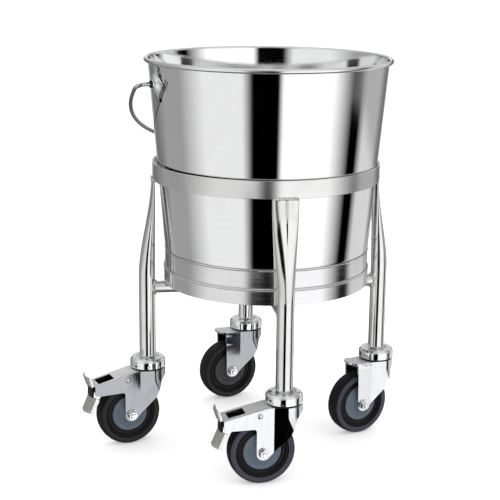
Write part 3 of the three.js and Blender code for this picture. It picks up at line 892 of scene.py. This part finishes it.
def make_brace_weld(side, turn):
    path = saddle_path(leg_circle, brace_radius + 0.6 * mm, leg_radius, 56)

    def swell(i, k):
        return lumps((math.cos(i * 0.112) * 5, math.sin(i * 0.112) * 5, leg_turns[side]), 1.0, 0.5)

    mesh = swept("brace_weld", path, 1.9 * mm, facets=12, closed=True, swell=swell)
    piece(f"brace_weld_{side}", mesh, "weld_metal", "stand", "tube_steel", place=turn, crease=70)


def make_braces():
    inside = leg_circle - leg_radius + 1.6 * mm
    wall = 1.5 * mm
    spans = {"long": (-inside, inside, 0), "front": (brace_radius, inside, -90),
             "back": (brace_radius, inside, 90)}
    for name, (start, end, angle) in spans.items():
        outline = rounded([
            (brace_radius - wall, start, 0), (brace_radius, start, 0.3 * mm),
            (brace_radius, end, 0.3 * mm), (brace_radius - wall, end, 0),
        ], steps=2)
        lengths = 24
        outer = [(brace_radius, start + (end - start) * k / lengths) for k in range(1, lengths)]
        outline = outline[:4] + outer + outline[4:]
        mesh = turned("brace_tube", outline, segments=64)
        lie = Matrix.Translation((0, 0, brace_height)) @ Matrix.Rotation(math.pi / 2, 4, "Y")
        place = on_stand_axis @ Matrix.Rotation(math.radians(angle), 4, "Z") @ lie
        piece(f"brace_tube_{name}", mesh, "satin_tube",
              "stand", "tube_steel", f"cross_brace_{name}", place=place)


def make_cross_weld():
    """Fillet round each short brace where it meets the long one."""
    for name, angle in (("front", -90), ("back", 90)):
        path = []
        steps = 48
        for step in range(steps):
            turn = math.tau * step / steps
            up = (brace_radius + 0.3 * mm) * math.sin(turn)
            along = math.sqrt(max(0, (brace_radius + 0.8 * mm) ** 2 - up * up))
            path.append(Vector((along, (brace_radius + 0.3 * mm) * math.cos(turn), brace_height + up)))

        def swell(i, k):
            return lumps((math.cos(i * 0.131) * 4, math.sin(i * 0.131) * 4, angle), 1.0, 0.4)

        mesh = swept("cross_weld", path, 1.6 * mm, facets=10, closed=True, swell=swell)
        place = on_stand_axis @ Matrix.Rotation(math.radians(angle), 4, "Z")
        piece(f"cross_weld_{name}", mesh, "weld_metal", "stand", "tube_steel", place=place, crease=70)


def make_cap(side):
    """Pressed cap: rounded shoulder, straight skirt, crimped near its lower edge."""
    bore = leg_radius + 0.3 * mm
    wall = 1.6 * mm
    corners = [
        (cap_radius - wall, cap_base, 0.4 * mm),
        (cap_radius, cap_base, 0.5 * mm),
        (cap_radius, cap_top - 9.4 * mm, 2.2 * mm),
        (cap_radius - 3.0 * mm, cap_top - 5.2 * mm, 2.6 * mm),
        (bore + 4.6 * mm, cap_top - 5.0 * mm, 1.8 * mm),
        (bore + 1.8 * mm, cap_top - 9.0 * mm, 1.4 * mm),
        (bore, cap_top - 9.4 * mm, 0.3 * mm),
        (bore, cap_top - 11 * mm, 0.3 * mm),
        (bore + 3.0 * mm, cap_top - 10.8 * mm, 1.2 * mm),
        (bore + 5.6 * mm, cap_top - 7.2 * mm, 1.6 * mm),
        (cap_radius - 4.4 * mm, cap_top - 7.2 * mm, 2.0 * mm),
        (cap_radius - wall, cap_top - 10.6 * mm, 1.6 * mm),
    ]
    outline = rounded(corners, steps=8)
    skirt = [(cap_radius, cap_base + k * 1.1 * mm) for k in range(1, 8)]
    split = next(i for i, point in enumerate(outline) if point[1] > cap_base + 8 * mm)
    outline = outline[:split] + [p for p in skirt if p[1] > outline[split - 1][1]] + outline[split:]
    crimps = 10

    def dent(angle, radius, height):
        if radius < cap_radius - 0.4 * wall or height > cap_base + 9 * mm:
            return radius, height
        nearest = round(angle / math.tau * crimps) * math.tau / crimps
        sideways = (angle - nearest) * cap_radius / (1.3 * mm)
        upward = (height - cap_base - 3.6 * mm) / (1.2 * mm)
        return radius - 0.35 * mm * math.exp(-sideways ** 2 - upward ** 2), height

    mesh = turned("swivel_cup", outline, segments=160, shift=dent)
    place = caster_place(side)
    piece(f"swivel_cup_{side}", mesh, "chrome",
          "stand", "chrome", f"swivel_cap_{side}", place=place, crease=60)


# ---------------------------------------------------------------- casters
def caster_place(side):
    """Caster frame: swivel axis on the floor, +X towards the axle."""
    swivel = Vector(joint_at[f"swivel_{side}"]["pos_m"])
    axle = Vector(joint_at[f"wheel_{side}_spin"]["pos_m"])
    heading = math.atan2(axle.y - swivel.y, axle.x - swivel.x)
    return Matrix.Translation((swivel.x, swivel.y, 0)) @ Matrix.Rotation(heading, 4, "Z")


def axle_place(side):
    """Wheel frame: +Z of a turned mesh lies along the axle, towards the nut."""
    lie = Matrix.Rotation(-math.pi / 2, 4, "X")
    return caster_place(side) @ Matrix.Translation((trail, 0, wheel_radius)) @ lie


def make_seal(side):
    low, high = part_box(f"swivel_seal_{side}")
    outer = half_width_of(f"swivel_seal_{side}")
    bore = 6.6 * mm
    corners = [(bore, low.z, 0), (outer, low.z, 0.8 * mm), (outer, high.z, 0.8 * mm), (bore, high.z, 0)]
    mesh = turned("race_seal", rounded(corners), segments=96)
    piece(f"race_seal_{side}", mesh, "black",
          f"caster_{side}", "black_rubber", f"swivel_seal_{side}", place=caster_place(side))


def crown_bowl():
    """The round top of the fork: a flat race with a rounded, turned-down edge."""
    radius = cheek_outer - 0.2 * mm
    bore = 6.4 * mm
    corners = [
        (bore, crown_under, 0),
        (radius - cheek_sheet, crown_under, 1.6 * mm),
        (radius - cheek_sheet, crown_under - 5 * mm, 0.4 * mm),
        (radius, crown_under - 5 * mm, 0.6 * mm),
        (radius, crown_top, 3 * mm),
        (bore, crown_top, 0),
    ]
    return turned("crown_bowl", rounded(corners, steps=7), segments=128)


fold_at = 19 * mm          # ahead of this line the cheek is flat
fold_slope = 0.27
round_from = 8 * mm        # behind this line the cheek may follow the round crown


def cheek_spread(x, z):
    """Outer face of a cheek from the middle: flat in front, then outward and round the crown."""
    if x >= fold_at:
        return cheek_outer
    panel = cheek_outer + (fold_at - x) * fold_slope
    if x > round_from:
        return panel
    along = cap_radius + 0.2 * mm
    wide = cap_radius - 2.9 * mm + max(0, 101 * mm - z) * 0.26
    ring = wide * math.sqrt(max(1 - (x / along) ** 2, 0.05))
    blend = 1.2 * mm
    share = min(1, max(0, 0.5 + 0.5 * (ring - panel) / blend))
    return ring * (1 - share) + panel * share - blend * share * (1 - share)


def cheek_outline(braked):
    tip = 10.5 * mm
    front = trail + tip
    ends = [(a, b, 0) for a, b in arc(trail, wheel_radius, tip, 222, 360, 16)]
    if braked:
        upper = [
            (front, arm_low, 5 * mm),
            (arm_reach, arm_low, 4 * mm),
            (arm_reach, arm_top - 0.6 * mm, 1.5 * mm),
            (cap_radius, crown_top - 0.6 * mm, 2 * mm),
        ]
    else:
        upper = [
            (front + 1 * mm, crown_under - 20 * mm, 4 * mm),
            (front + 1.5 * mm, crown_top - 0.6 * mm, 1.5 * mm),
        ]
    rear = [
        (-26.5 * mm, crown_top - 0.6 * mm, 1 * mm),
        (-26.8 * mm, crown_under - 6 * mm, 3 * mm),
        (-15 * mm, 100 * mm, 14 * mm),
        (-5 * mm, wheel_radius * 1.52, 12 * mm),
    ]
    return rounded(ends + upper + rear, steps=6)


def cheek_plate(braked, way):
    cuts = [("z", z * mm) for z in range(62, 118, 4)] + [("x", x * 1.5 * mm) for x in range(-17, 12)]
    cuts += [("x", fold_at), ("x", fold_at - 0.6 * mm), ("x", fold_at + 0.6 * mm)]

    def bend(point):
        outward = cheek_spread(point.x, point.z) - cheek_sheet / 2
        return Vector((point.x, way * outward + point.y, point.z))

    return slab("cheek", cheek_outline(braked), cheek_sheet, edge=0.5 * mm, cuts=cuts, bend=bend)


def sheet_panel(name, lengths, widths, height, hole, thickness):
    """A bent panel from a grid in X and Y; height(x, y) lifts it; hole(x, y) leaves a cell out."""
    work = bmesh.new()
    grid = {}
    for i, x in enumerate(lengths):
        for j, y in enumerate(widths):
            for layer in (0, 1):
                z = height(x, y) - thickness * layer
                grid[i, j, layer] = work.verts.new((x, y, z))
    filled = set()
    for i in range(len(lengths) - 1):
        for j in range(len(widths) - 1):
            if not hole((lengths[i] + lengths[i + 1]) / 2, (widths[j] + widths[j + 1]) / 2):
                filled.add((i, j))
    for i, j in filled:
        for layer in (0, 1):
            work.faces.new([grid[i + a, j + b, layer] for a, b in ((0, 0), (1, 0), (1, 1), (0, 1))])
        for di, dj, ends in ((-1, 0, ((0, 0), (0, 1))), (1, 0, ((1, 0), (1, 1))),
                             (0, -1, ((0, 0), (1, 0))), (0, 1, ((0, 1), (1, 1)))):
            if (i + di, j + dj) not in filled:
                (a, b), (c, d) = ends
                work.faces.new([grid[i + a, j + b, 0], grid[i + c, j + d, 0],
                                grid[i + c, j + d, 1], grid[i + a, j + b, 1]])
    bmesh.ops.delete(work, geom=[v for v in work.verts if not v.link_faces], context="VERTS")
    bmesh.ops.recalc_face_normals(work, faces=work.faces)
    soften(work, 0.35 * mm)
    return finished(name, work)


def bent_widths(half, bend, inner):
    """Rows across a channel: flat in the middle, close together round each bend."""
    turn = [half - bend + bend * math.sin(math.radians(a)) for a in (0, 18, 36, 54, 72, 86)]
    rows = [inner] + turn
    return [-y for y in reversed(rows)] + rows


def bend_drop(y, half, bend):
    into = max(0, abs(y) - (half - bend))
    return bend - math.sqrt(max(0, bend * bend - into * into))


def brake_top_plate():
    """Top of the braked fork: slopes down past the wheel and has a slot near its end."""
    bend = 4 * mm
    slot_half = 11.5 * mm
    slot_end = arm_reach - 8 * mm
    slot_start = slot_end - 25 * mm
    widths = bent_widths(cheek_outer, bend, slot_half)
    lengths = [14 * mm, 20 * mm, cap_radius, 36 * mm, 46 * mm, slot_start, slot_start + 8 * mm,
               slot_start + 17 * mm, slot_end, arm_reach - 4 * mm, arm_reach - 1 * mm, arm_reach]

    def height(x, y):
        fall = (crown_top - arm_top) * (x - cap_radius) / (arm_reach - cap_radius)
        ease = max(0, fall) if x > cap_radius else 0
        lip = 0.6 * mm * smooth_step(arm_reach - 4 * mm, arm_reach, x)
        return crown_top - ease - bend_drop(y, cheek_outer, bend) - lip

    def hole(x, y):
        return slot_start < x < slot_end and abs(y) < slot_half

    return sheet_panel("brake_top", lengths, widths, height, hole, cheek_sheet)


def tongue_plate():
    """Rounded tongue over the wheel, with its long edges bent down to the cheeks."""
    reach = 57 * mm
    half = cheek_outer
    widths = [half * math.sin(math.radians(a)) for a in range(-90, 91, 9)]
    steps = 16
    work = bmesh.new()
    grid = {}
    for i in range(steps + 1):
        for j, y in enumerate(widths):
            nose = reach - half * 0.86 + 0.86 * math.sqrt(max(0, half * half - y * y))
            x = 8 * mm + (nose - 8 * mm) * i / steps
            fall = bend_drop(y, half, 3 * mm) * smooth_step(nose, nose - 9 * mm, x)
            lift = 1.6 * mm * smooth_step(36 * mm, reach, x)
            for layer in (0, 1):
                grid[i, j, layer] = work.verts.new((x, y, crown_top + lift - fall - layer * 2.6 * mm))
    columns = len(widths)
    for layer in (0, 1):
        for i in range(steps):
            for j in range(columns - 1):
                work.faces.new([grid[i, j, layer], grid[i + 1, j, layer],
                                grid[i + 1, j + 1, layer], grid[i, j + 1, layer]])
    rim = [(i, 0) for i in range(steps)] + [(steps, j) for j in range(columns - 1)]
    rim += [(i, columns - 1) for i in range(steps, 0, -1)] + [(0, j) for j in range(columns - 1, 0, -1)]
    for k, (i, j) in enumerate(rim):
        m, n = rim[(k + 1) % len(rim)]
        work.faces.new([grid[i, j, 0], grid[m, n, 0], grid[m, n, 1], grid[i, j, 1]])
    bmesh.ops.recalc_face_normals(work, faces=work.faces)
    soften(work, 0.5 * mm)
    return finished("tongue", work)


def make_fork(side):
    braked = side in braked_sides
    shells = [crown_bowl(), cheek_plate(braked, -1), cheek_plate(braked, 1)]
    shells.append(brake_top_plate() if braked else tongue_plate())
    mesh = joined("pressed_fork", *shells)
    facing_up = [int(face.normal.z > 0.9 and face.center.z > crown_under - 16 * mm)
                 for face in mesh.polygons]
    # The back and left forks take the darkened zinc, which is painted shade.
    finish = "pressed_zinc_painted_shade" if side in painted_shade_sides else "pressed_zinc"
    made = piece(f"pressed_fork_{side}", mesh, finish,
                 f"caster_{side}", "chrome", f"fork_{side}", place=caster_place(side), crease=25)
    made.data.materials.append(materials["satin_plate"])
    made.data.polygons.foreach_set("material_index", facing_up)


def make_tyre(side):
    outer = wheel_radius
    crown = 0.5 * mm
    corners = mirrored([
        (tyre_bore, -tyre_half + 2.2 * mm, 0.6 * mm),
        (tyre_bore + 1.6 * mm, -tyre_half + 0.6 * mm, 1.0 * mm),
        (outer - 5 * mm, -tyre_half, 2.5 * mm),
        (outer - 1.4 * mm, -tyre_half + 1.8 * mm, 2.6 * mm),
        (outer - crown, -tyre_half + 5.6 * mm, 3 * mm),
    ], middle=[(outer, 0, 6 * mm)])
    mesh = turned("tyre_band", rounded(corners, steps=5), segments=160)
    # The side-wall faces are picked out for the lighter finish, a painted sheen.
    walls = []
    for face in mesh.polygons:
        reach = math.hypot(face.center.x, face.center.y)
        walls.append(int(abs(face.normal.z) > 0.72 and tyre_bore + 1.4 * mm < reach < outer - 3.4 * mm))
    made = piece(f"tyre_band_{side}", mesh, "tyre",
                 f"wheel_{side}", "tyre", f"tyre_{side}", place=axle_place(side))
    # The back and left tyres get the darkened side walls, which is painted shade.
    wall_finish = "tyre_wall_painted_shade" if side in painted_shade_sides else "tyre_wall_painted_sheen"
    made.data.materials.append(materials[wall_finish])
    made.data.polygons.foreach_set("material_index", walls)


def make_wheel(side):
    """Black moulded rim with a stepped channel, and a smooth disc over each side."""
    disc = 28.4 * mm
    face = tyre_half - 3 * mm
    channel = face - 3 * mm
    rim = tyre_bore - 0.3 * mm
    bore = 6.3 * mm
    corners = mirrored([
        (bore, -channel, 0), (disc + 1.2 * mm, -channel, 0.6 * mm),
        (disc + 2.2 * mm, -channel - 0.8 * mm, 0.5 * mm), (rim - 3 * mm, -channel - 0.8 * mm, 0.6 * mm),
        (rim - 1.8 * mm, -face - 0.6 * mm, 0.6 * mm), (rim, -face - 0.6 * mm, 0.5 * mm),
    ])
    mesh = turned("wheel_rim", rounded(corners, steps=4), segments=128)
    piece(f"wheel_rim_{side}", mesh, "black",
          f"wheel_{side}", "black_rubber", f"wheel_hub_{side}", place=axle_place(side))
    discs = []
    for way in (-1, 1):
        boss = 15.4 * mm
        guard = [
            (bore, way * channel * 0.5, 0), (disc, way * channel * 0.5, 0.4 * mm),
            (disc, way * (face - 0.4 * mm), 1.6 * mm), (disc - 7 * mm, way * (face - 0.2 * mm), 6 * mm),
            (17.5 * mm, way * (face + 1.4 * mm), 5 * mm), (14.6 * mm, way * (face + 1.6 * mm), 1.6 * mm),
            (12.4 * mm, way * boss, 1.2 * mm),
            (bore, way * boss, 0.6 * mm),
        ]
        discs.append(turned("wheel_disc", rounded(guard, steps=6), segments=128))
    mesh = joined("wheel_disc", *discs)
    # The back wheel's disc takes the dark grey, which is painted shade.
    piece(f"wheel_disc_{side}", mesh, "hub_painted_shade" if side == "back" else "hub",
          f"wheel_{side}", "hub_plastic", place=axle_place(side))


def hexagon(name, across, low, high, bore=0.0):
    """A chamfered hexagonal body: flats cut by a cone at both ends, as a nut has."""
    chamfer = 0.9 * mm
    facets = 96
    flat = across / 2
    points = []
    rows = [(bore, low), (flat - 0.2 * mm, low), (None, low + chamfer), (None, high - chamfer),
            (flat - 0.2 * mm, high), (bore, high)]
    for k in range(facets):
        angle = math.tau * k / facets
        hexed = flat / math.cos(math.remainder(angle, math.pi / 3))
        for radius, height in rows:
            r = hexed if radius is None else radius
            slack = (hexed - flat) * 0.55 if radius is None else 0
            z = height + (slack if height < (low + high) / 2 else -slack)
            points.append((r * math.cos(angle), r * math.sin(angle), z))
    faces = [(a, d, c, b) for a, b, c, d in cells(facets, len(rows), loop=True)]
    return closed_mesh(name, points, faces)


def washer(name, bore, outer, low, high):
    return turned(name, rounded([
        (bore, low, 0), (outer, low, 0.3 * mm), (outer, high, 0.3 * mm), (bore, high, 0),
    ], steps=3), segments=64)


def make_axle(side):
    """Bolt with its head and washer on one side; nut, washer and thread end on the other."""
    seat = cheek_outer + 0.3 * mm
    across = 13 * mm
    thin = 1.0 * mm
    shank = 4 * mm
    head = hexagon("head", across, -seat - 5 * mm, -seat - thin)
    shaft = rounded([
        (0, -seat - 2 * mm, 0), (shank, -seat - 2 * mm, 0),
        (shank, seat + 5.6 * mm, 0.2 * mm), (shank - 0.3 * mm, seat + 5.9 * mm, 0),
    ], steps=2)
    turns = 4
    pitch = 0.55 * mm
    thread_depth = 0.35 * mm
    for turn in range(turns):
        base = seat + 6.0 * mm + turn * pitch
        shaft += [(shank, base + 0.1 * mm), (shank, base + 0.25 * mm),
                  (shank - thread_depth, base + 0.45 * mm)]
    shaft += [(shank - 0.9 * mm, seat + 8.8 * mm), (0, seat + 9.0 * mm)]
    body = turned("shank", shaft, segments=64)
    near = washer("head_washer", 4.1 * mm, 8.4 * mm, -seat - thin, -seat)
    mesh = joined("bolt", head, body, near)
    piece(f"wheel_bolt_{side}", mesh, "zinc",
          f"caster_{side}", "plated_steel", f"axle_bolt_{side}", place=axle_place(side), crease=30)
    nut = hexagon("nut", across, seat + thin, seat + 6.5 * mm, bore=4.2 * mm)
    far = washer("nut_washer", 4.2 * mm, 8.4 * mm, seat, seat + thin)
    mesh = joined("nut", nut, far)
    piece(f"wheel_nut_{side}", mesh, "zinc",
          f"caster_{side}", "plated_steel", f"axle_nut_{side}", place=axle_place(side), crease=30)


def ribbed_edge(start, end, ribs, height):
    """Points of a ribbed line from start to end, with the ribs on its left."""
    a = Vector(start)
    b = Vector(end)
    ahead = b - a
    left = Vector((-ahead.y, ahead.x)).normalized()
    found = []
    for rib in range(ribs):
        for part, rise in ((0.12, 0.0), (0.3, 0.8), (0.5, 1.0), (0.7, 0.8), (0.88, 0.0)):
            point = a + ahead * ((rib + part) / ribs) + left * height * rise
            found.append((point.x, point.y, 0))
    return found


def bowed(name, outline, half, bow, stations=14):
    """A bar of one section across the pedal, its middle standing forward of its ends."""
    points = []
    for k in range(stations + 1):
        across = 2 * k / stations - 1
        shrink = 0.3 * mm if k in (0, stations) else 0
        for a, b in outline:
            points.append((a - bow * across * across - shrink, across * half, b))
    count = len(outline)
    faces = [tuple(range(count)), tuple(range(stations * count, (stations + 1) * count))]
    faces += cells(stations + 1, count)
    return closed_mesh(name, points, faces)


def make_pedal_arm(side):
    """The arm and shoe between the cheeks."""
    pin_x = brake_pin_ahead
    pin_z = middle_of(f"brake_pin_{side}").z
    end = pedal_end
    turn_up = Matrix.Rotation(pedal_press, 2)

    def shoe_point(degrees, clearance):
        """A point this far off the tread when the pedal is pressed, turned back up to rest."""
        reach = wheel_radius + clearance
        turn = math.radians(degrees)
        pressed = Vector((trail + reach * math.cos(turn) - pin_x,
                          wheel_radius + reach * math.sin(turn) - pin_z))
        return Vector((pin_x, pin_z)) + turn_up @ pressed

    arm = [
        (pin_x - 1 * mm, pin_z - 4 * mm, 1.5 * mm), (pin_x + 20 * mm, pin_z - 8.5 * mm, 4 * mm),
        (*shoe_point(55, 1.0 * mm), 2 * mm), (*shoe_point(40, 1.6 * mm), 2 * mm),
        (pin_x + 39 * mm, arm_top - 9 * mm, 2 * mm), (end - 4 * mm, arm_top - 11 * mm, 1.5 * mm),
        (end - 3 * mm, arm_low - 4 * mm, 0.8 * mm), (end + 0.5 * mm, arm_low - 3 * mm, 0.8 * mm),
        (end, arm_top - 8 * mm, 4 * mm), (end + 2 * mm, arm_top - 2 * mm, 1 * mm),
        (end - 2 * mm, arm_top - 6 * mm, 3 * mm),
        (pin_x + 20 * mm, pin_z - 5.5 * mm, 4 * mm), (pin_x - 1 * mm, pin_z + 4 * mm, 2 * mm),
    ]
    body = slab("pedal_arm", rounded(arm, steps=4), 20 * mm, edge=0.7 * mm)
    # The arm takes the black finish as painted shade: the black stands for the shade inside the fork
    # round the arm.
    piece(f"pedal_arm_{side}", body, "black",
          f"brake_{side}", "plated_steel", f"brake_pedal_{side}", place=caster_place(side))


def make_pedal_tab(side):
    """The ribbed tab above the arm, with a gusset at each side."""
    end = pedal_end
    foot = (end + 2 * mm, arm_top - 1 * mm)
    crest = (end + 8.5 * mm, arm_top + 15 * mm)
    lip = ribbed_edge((foot[0] + 1.6 * mm, foot[1]), (crest[0], crest[1] - 1 * mm), 6, -0.7 * mm)
    lip += [(*crest, 0.6 * mm), (crest[0] - 1.6 * mm, crest[1] + 0.4 * mm, 0.6 * mm),
            (foot[0] - 0.6 * mm, foot[1] + 1 * mm, 0.6 * mm)]
    shells = [bowed("tab", rounded(lip, steps=3), 15 * mm, 3 * mm)]
    gusset = rounded([
        (end - 1.6 * mm, arm_top - 1 * mm, 0.5 * mm), (end + 2 * mm, arm_top - 2 * mm, 0.5 * mm),
        (end + 4.5 * mm, arm_top + 8 * mm, 0.6 * mm), (end - 1.4 * mm, arm_top + 4.5 * mm, 1 * mm),
    ])
    for way in (-1, 1):
        wing = slab("gusset", gusset, 1.6 * mm, edge=0.4 * mm)
        wing.transform(Matrix.Translation((0, way * 12.6 * mm, 0)))
        shells.append(wing)
    piece(f"pedal_tab_{side}", joined("pedal_tab", *shells), "bright_wire",
          f"brake_{side}", "plated_steel", place=caster_place(side))


def make_pedal_pad(side):
    """The ribbed pad hanging below the arm."""
    end = pedal_end
    upper = (end + 1.0 * mm, arm_low - 3 * mm)
    lower = (end + 11.4 * mm, arm_low - 26.5 * mm)
    face = ribbed_edge((lower[0] - 0.4 * mm, lower[1] + 1.2 * mm), upper, 8, -1.5 * mm)
    face += [(*upper, 0.8 * mm), (upper[0] - 3.4 * mm, upper[1] - 1 * mm, 0.8 * mm),
             (lower[0] - 3.6 * mm, lower[1] - 1.4 * mm, 0.8 * mm), (*lower, 0.8 * mm)]
    pad = bowed("pedal_pad", rounded(face, steps=3), 16 * mm, 7 * mm)
    piece(f"pedal_pad_{side}", pad, "pad",
          f"brake_{side}", "plated_steel", place=caster_place(side), crease=30)


def make_pedal_flanges(side):
    """Side walls that join the pad to the arm."""
    end = pedal_end
    flanges = []
    for way in (-1, 1):
        wing = rounded([
            (end - 3.0 * mm, arm_low + 1 * mm, 1.5 * mm), (end - 10.0 * mm, arm_low - 8 * mm, 2 * mm),
            (end + 1.5 * mm, arm_low - 28 * mm, 1 * mm), (end + 5.8 * mm, arm_low - 27.5 * mm, 1.2 * mm),
            (end - 5.0 * mm, arm_low - 3 * mm, 2 * mm),
        ])
        plate = slab("flange", wing, 1.6 * mm, edge=0.5 * mm)
        plate.transform(Matrix.Translation((0, way * 15.6 * mm, 0)))
        flanges.append(plate)
    piece(f"pedal_flanges_{side}", joined("flanges", *flanges), "bright_wire",
          f"brake_{side}", "plated_steel", place=caster_place(side))


def make_brake_pin(side):
    pin_z = middle_of(f"brake_pin_{side}").z
    reach = cheek_outer + 0.2 * mm
    dome = [(4.2 * mm * math.sin(math.radians(a)), 2.3 * mm * math.cos(math.radians(a)))
            for a in range(0, 91, 10)]
    outline = [(r, -reach - z) for r, z in dome]
    outline += [(2.4 * mm, -reach), (2.4 * mm, reach)]
    outline += [(r, reach + z) for r, z in reversed(dome)]
    mesh = turned("brake_rivet", outline, segments=48)
    lie = Matrix.Translation((brake_pin_ahead, 0, pin_z)) @ Matrix.Rotation(-math.pi / 2, 4, "X")
    piece(f"brake_rivet_{side}", mesh, "bright_wire",
          f"caster_{side}", "plated_steel", f"brake_pin_{side}", place=caster_place(side) @ lie)


def dress_hidden_nodes():
    """Pieces inside the caps, hubs and curl keep their CAD shape and get a real finish."""
    finishes = {"caster_stem_": "zinc", "stem_expander_": "black", "axle_bush_": "zinc"}
    chosen = {f"{prefix}{side}": finish for prefix, finish in finishes.items() for side in sides}
    chosen["rim_wire"] = "bright_wire"
    for node, finish in chosen.items():
        mesh = frame["nodes"][node].data
        mesh.materials.clear()
        mesh.materials.append(materials[finish])


# ---------------------------------------------------------------- studio
def make_floor():
    size = 6.0
    cells = 24
    work = bmesh.new()
    bmesh.ops.create_grid(work, x_segments=cells, y_segments=cells, size=size / 2)
    mesh = finished("studio_floor", work)
    floor = bpy.data.objects.new("studio_floor", mesh)
    bpy.context.scene.collection.objects.link(floor)
    material, tree, shader = new_material("pale_floor")
    patches = place_group(tree, groups["smudge"], Size=3.0, Amount=0.3)
    tone = mix_colours(tree, patches.outputs["Mask"], (0.93, 0.93, 0.93, 1), (0.91, 0.91, 0.91, 1))
    wire(tree, tone, shader.inputs["Base Color"])
    shader.inputs["Roughness"].default_value = 0.8
    shader.inputs["Emission Color"].default_value = (1, 1, 1, 1)
    shader.inputs["Emission Strength"].default_value = 0.3
    mesh.materials.append(material)
    floor.visible_glossy = False


panel_turn = math.radians(9.71)
surroundings = (1.2, 1.2, 1.2, 1)
ceiling = (0.80, 0.80, 0.80, 1)
ground = (0.16, 0.16, 0.16, 1)


def make_studio_light():
    """White surroundings; polished metal sees panels and dark gaps standing round the object."""
    world = bpy.data.worlds.new("studio")
    bpy.context.scene.world = world
    world.use_nodes = True
    tree = world.node_tree
    backdrop = tree.nodes["Background"]
    direction = put(tree, "ShaderNodeTexCoord")
    turn = put(tree, "ShaderNodeVectorRotate", {"rotation_type": "Z_AXIS"}, Angle=panel_turn)
    wire(tree, direction.outputs["Generated"], turn.inputs["Vector"])
    split = put(tree, "ShaderNodeSeparateXYZ")
    wire(tree, turn.outputs["Vector"], split.inputs[0])
    toward = arithmetic(tree, "MULTIPLY", split.outputs["Y"], -1.0)
    bearing = arithmetic(tree, "ARCTAN2", split.outputs["X"], toward)
    place = arithmetic(tree, "MULTIPLY_ADD", bearing, 1 / math.tau, 0.5)

    def ring_of(panels):
        """Panels and gaps as (from, to, brightness) in degrees, fading into each other between."""
        ends = [(angle, value) for start, stop, value in panels for angle in (start, stop)]
        return ramp(tree, [((angle + 180) / 360, value) for angle, value in ends], place)

    low_ring = ring_of([
        (-180, -170, 0.8), (-160, -140, 0.15), (-125, -95, 0.4), (-65, -25, 1.0), (-15, 10, 0.0),
        (15, 65, 1.3), (90, 100, 0.0), (110, 140, 0.8), (155, 165, 0.15), (175, 180, 0.8),
    ])
    high_ring = ring_of([
        (-180, -170, 0.8), (-155, -145, 0.2), (-120, -90, 0.4), (-50, -10, 0.9), (0, 5, 0.1),
        (15, 65, 1.2), (95, 100, 0.3), (110, 135, 0.5), (150, 160, 0.2), (170, 180, 0.8),
    ])
    top_ring = ring_of([
        (-180, -170, 0.7), (-150, -110, 0.5), (-60, -40, 0.9), (-10, 5, 0.2), (20, 65, 0.9),
        (95, 110, 0.4), (130, 140, 0.8), (155, 165, 0.5), (175, 180, 0.7),
    ])
    height = arithmetic(tree, "MULTIPLY_ADD", split.outputs["Z"], 0.5, 0.5)
    above_low = ramp(tree, [(0.378, 0.0), (0.392, 1.0)], height)
    above_level = ramp(tree, [(0.505, 0.0), (0.515, 1.0)], height)
    overhead = ramp(tree, [(0.57, 0.0), (0.62, 1.0)], height)
    zenith = ramp(tree, [(0.78, 0.0), (0.97, 1.0)], height)
    underneath = ramp(tree, [(0.075, 1.0), (0.225, 0.0)], height)
    around_band = mix_colours(tree, above_low, low_ring, high_ring)
    standing = mix_colours(tree, above_level, around_band, low_ring)
    domed = mix_colours(tree, zenith, top_ring, ceiling)
    capped = mix_colours(tree, overhead, standing, domed)
    reflected = mix_colours(tree, underneath, capped, ground)
    light_path = put(tree, "ShaderNodeLightPath")
    chosen = mix_colours(tree, light_path.outputs["Is Glossy Ray"], surroundings, reflected)
    wire(tree, chosen, backdrop.inputs["Color"])
    bpy.context.scene.view_settings.view_transform = "Standard"


# ---------------------------------------------------------------- the object
make_camera()
make_floor()
make_studio_light()
make_bucket_shell()
make_bucket_pan()
make_foot_ring()
make_ear("ear_left", ear_angle)
make_ear("ear_right", ear_angle - math.pi)
make_bail()
make_support_ring()
make_braces()
make_cross_weld()
for side in sides:
    leg_turn = make_leg(side)
    make_ring_weld(side, leg_turn)
    make_brace_weld(side, leg_turn)
    make_cap(side)
    make_seal(side)
    make_fork(side)
    make_tyre(side)
    make_wheel(side)
    make_axle(side)
    if side in braked_sides:
        make_pedal_arm(side)
        make_pedal_tab(side)
        make_pedal_pad(side)
        make_pedal_flanges(side)
        make_brake_pin(side)
dress_hidden_nodes()
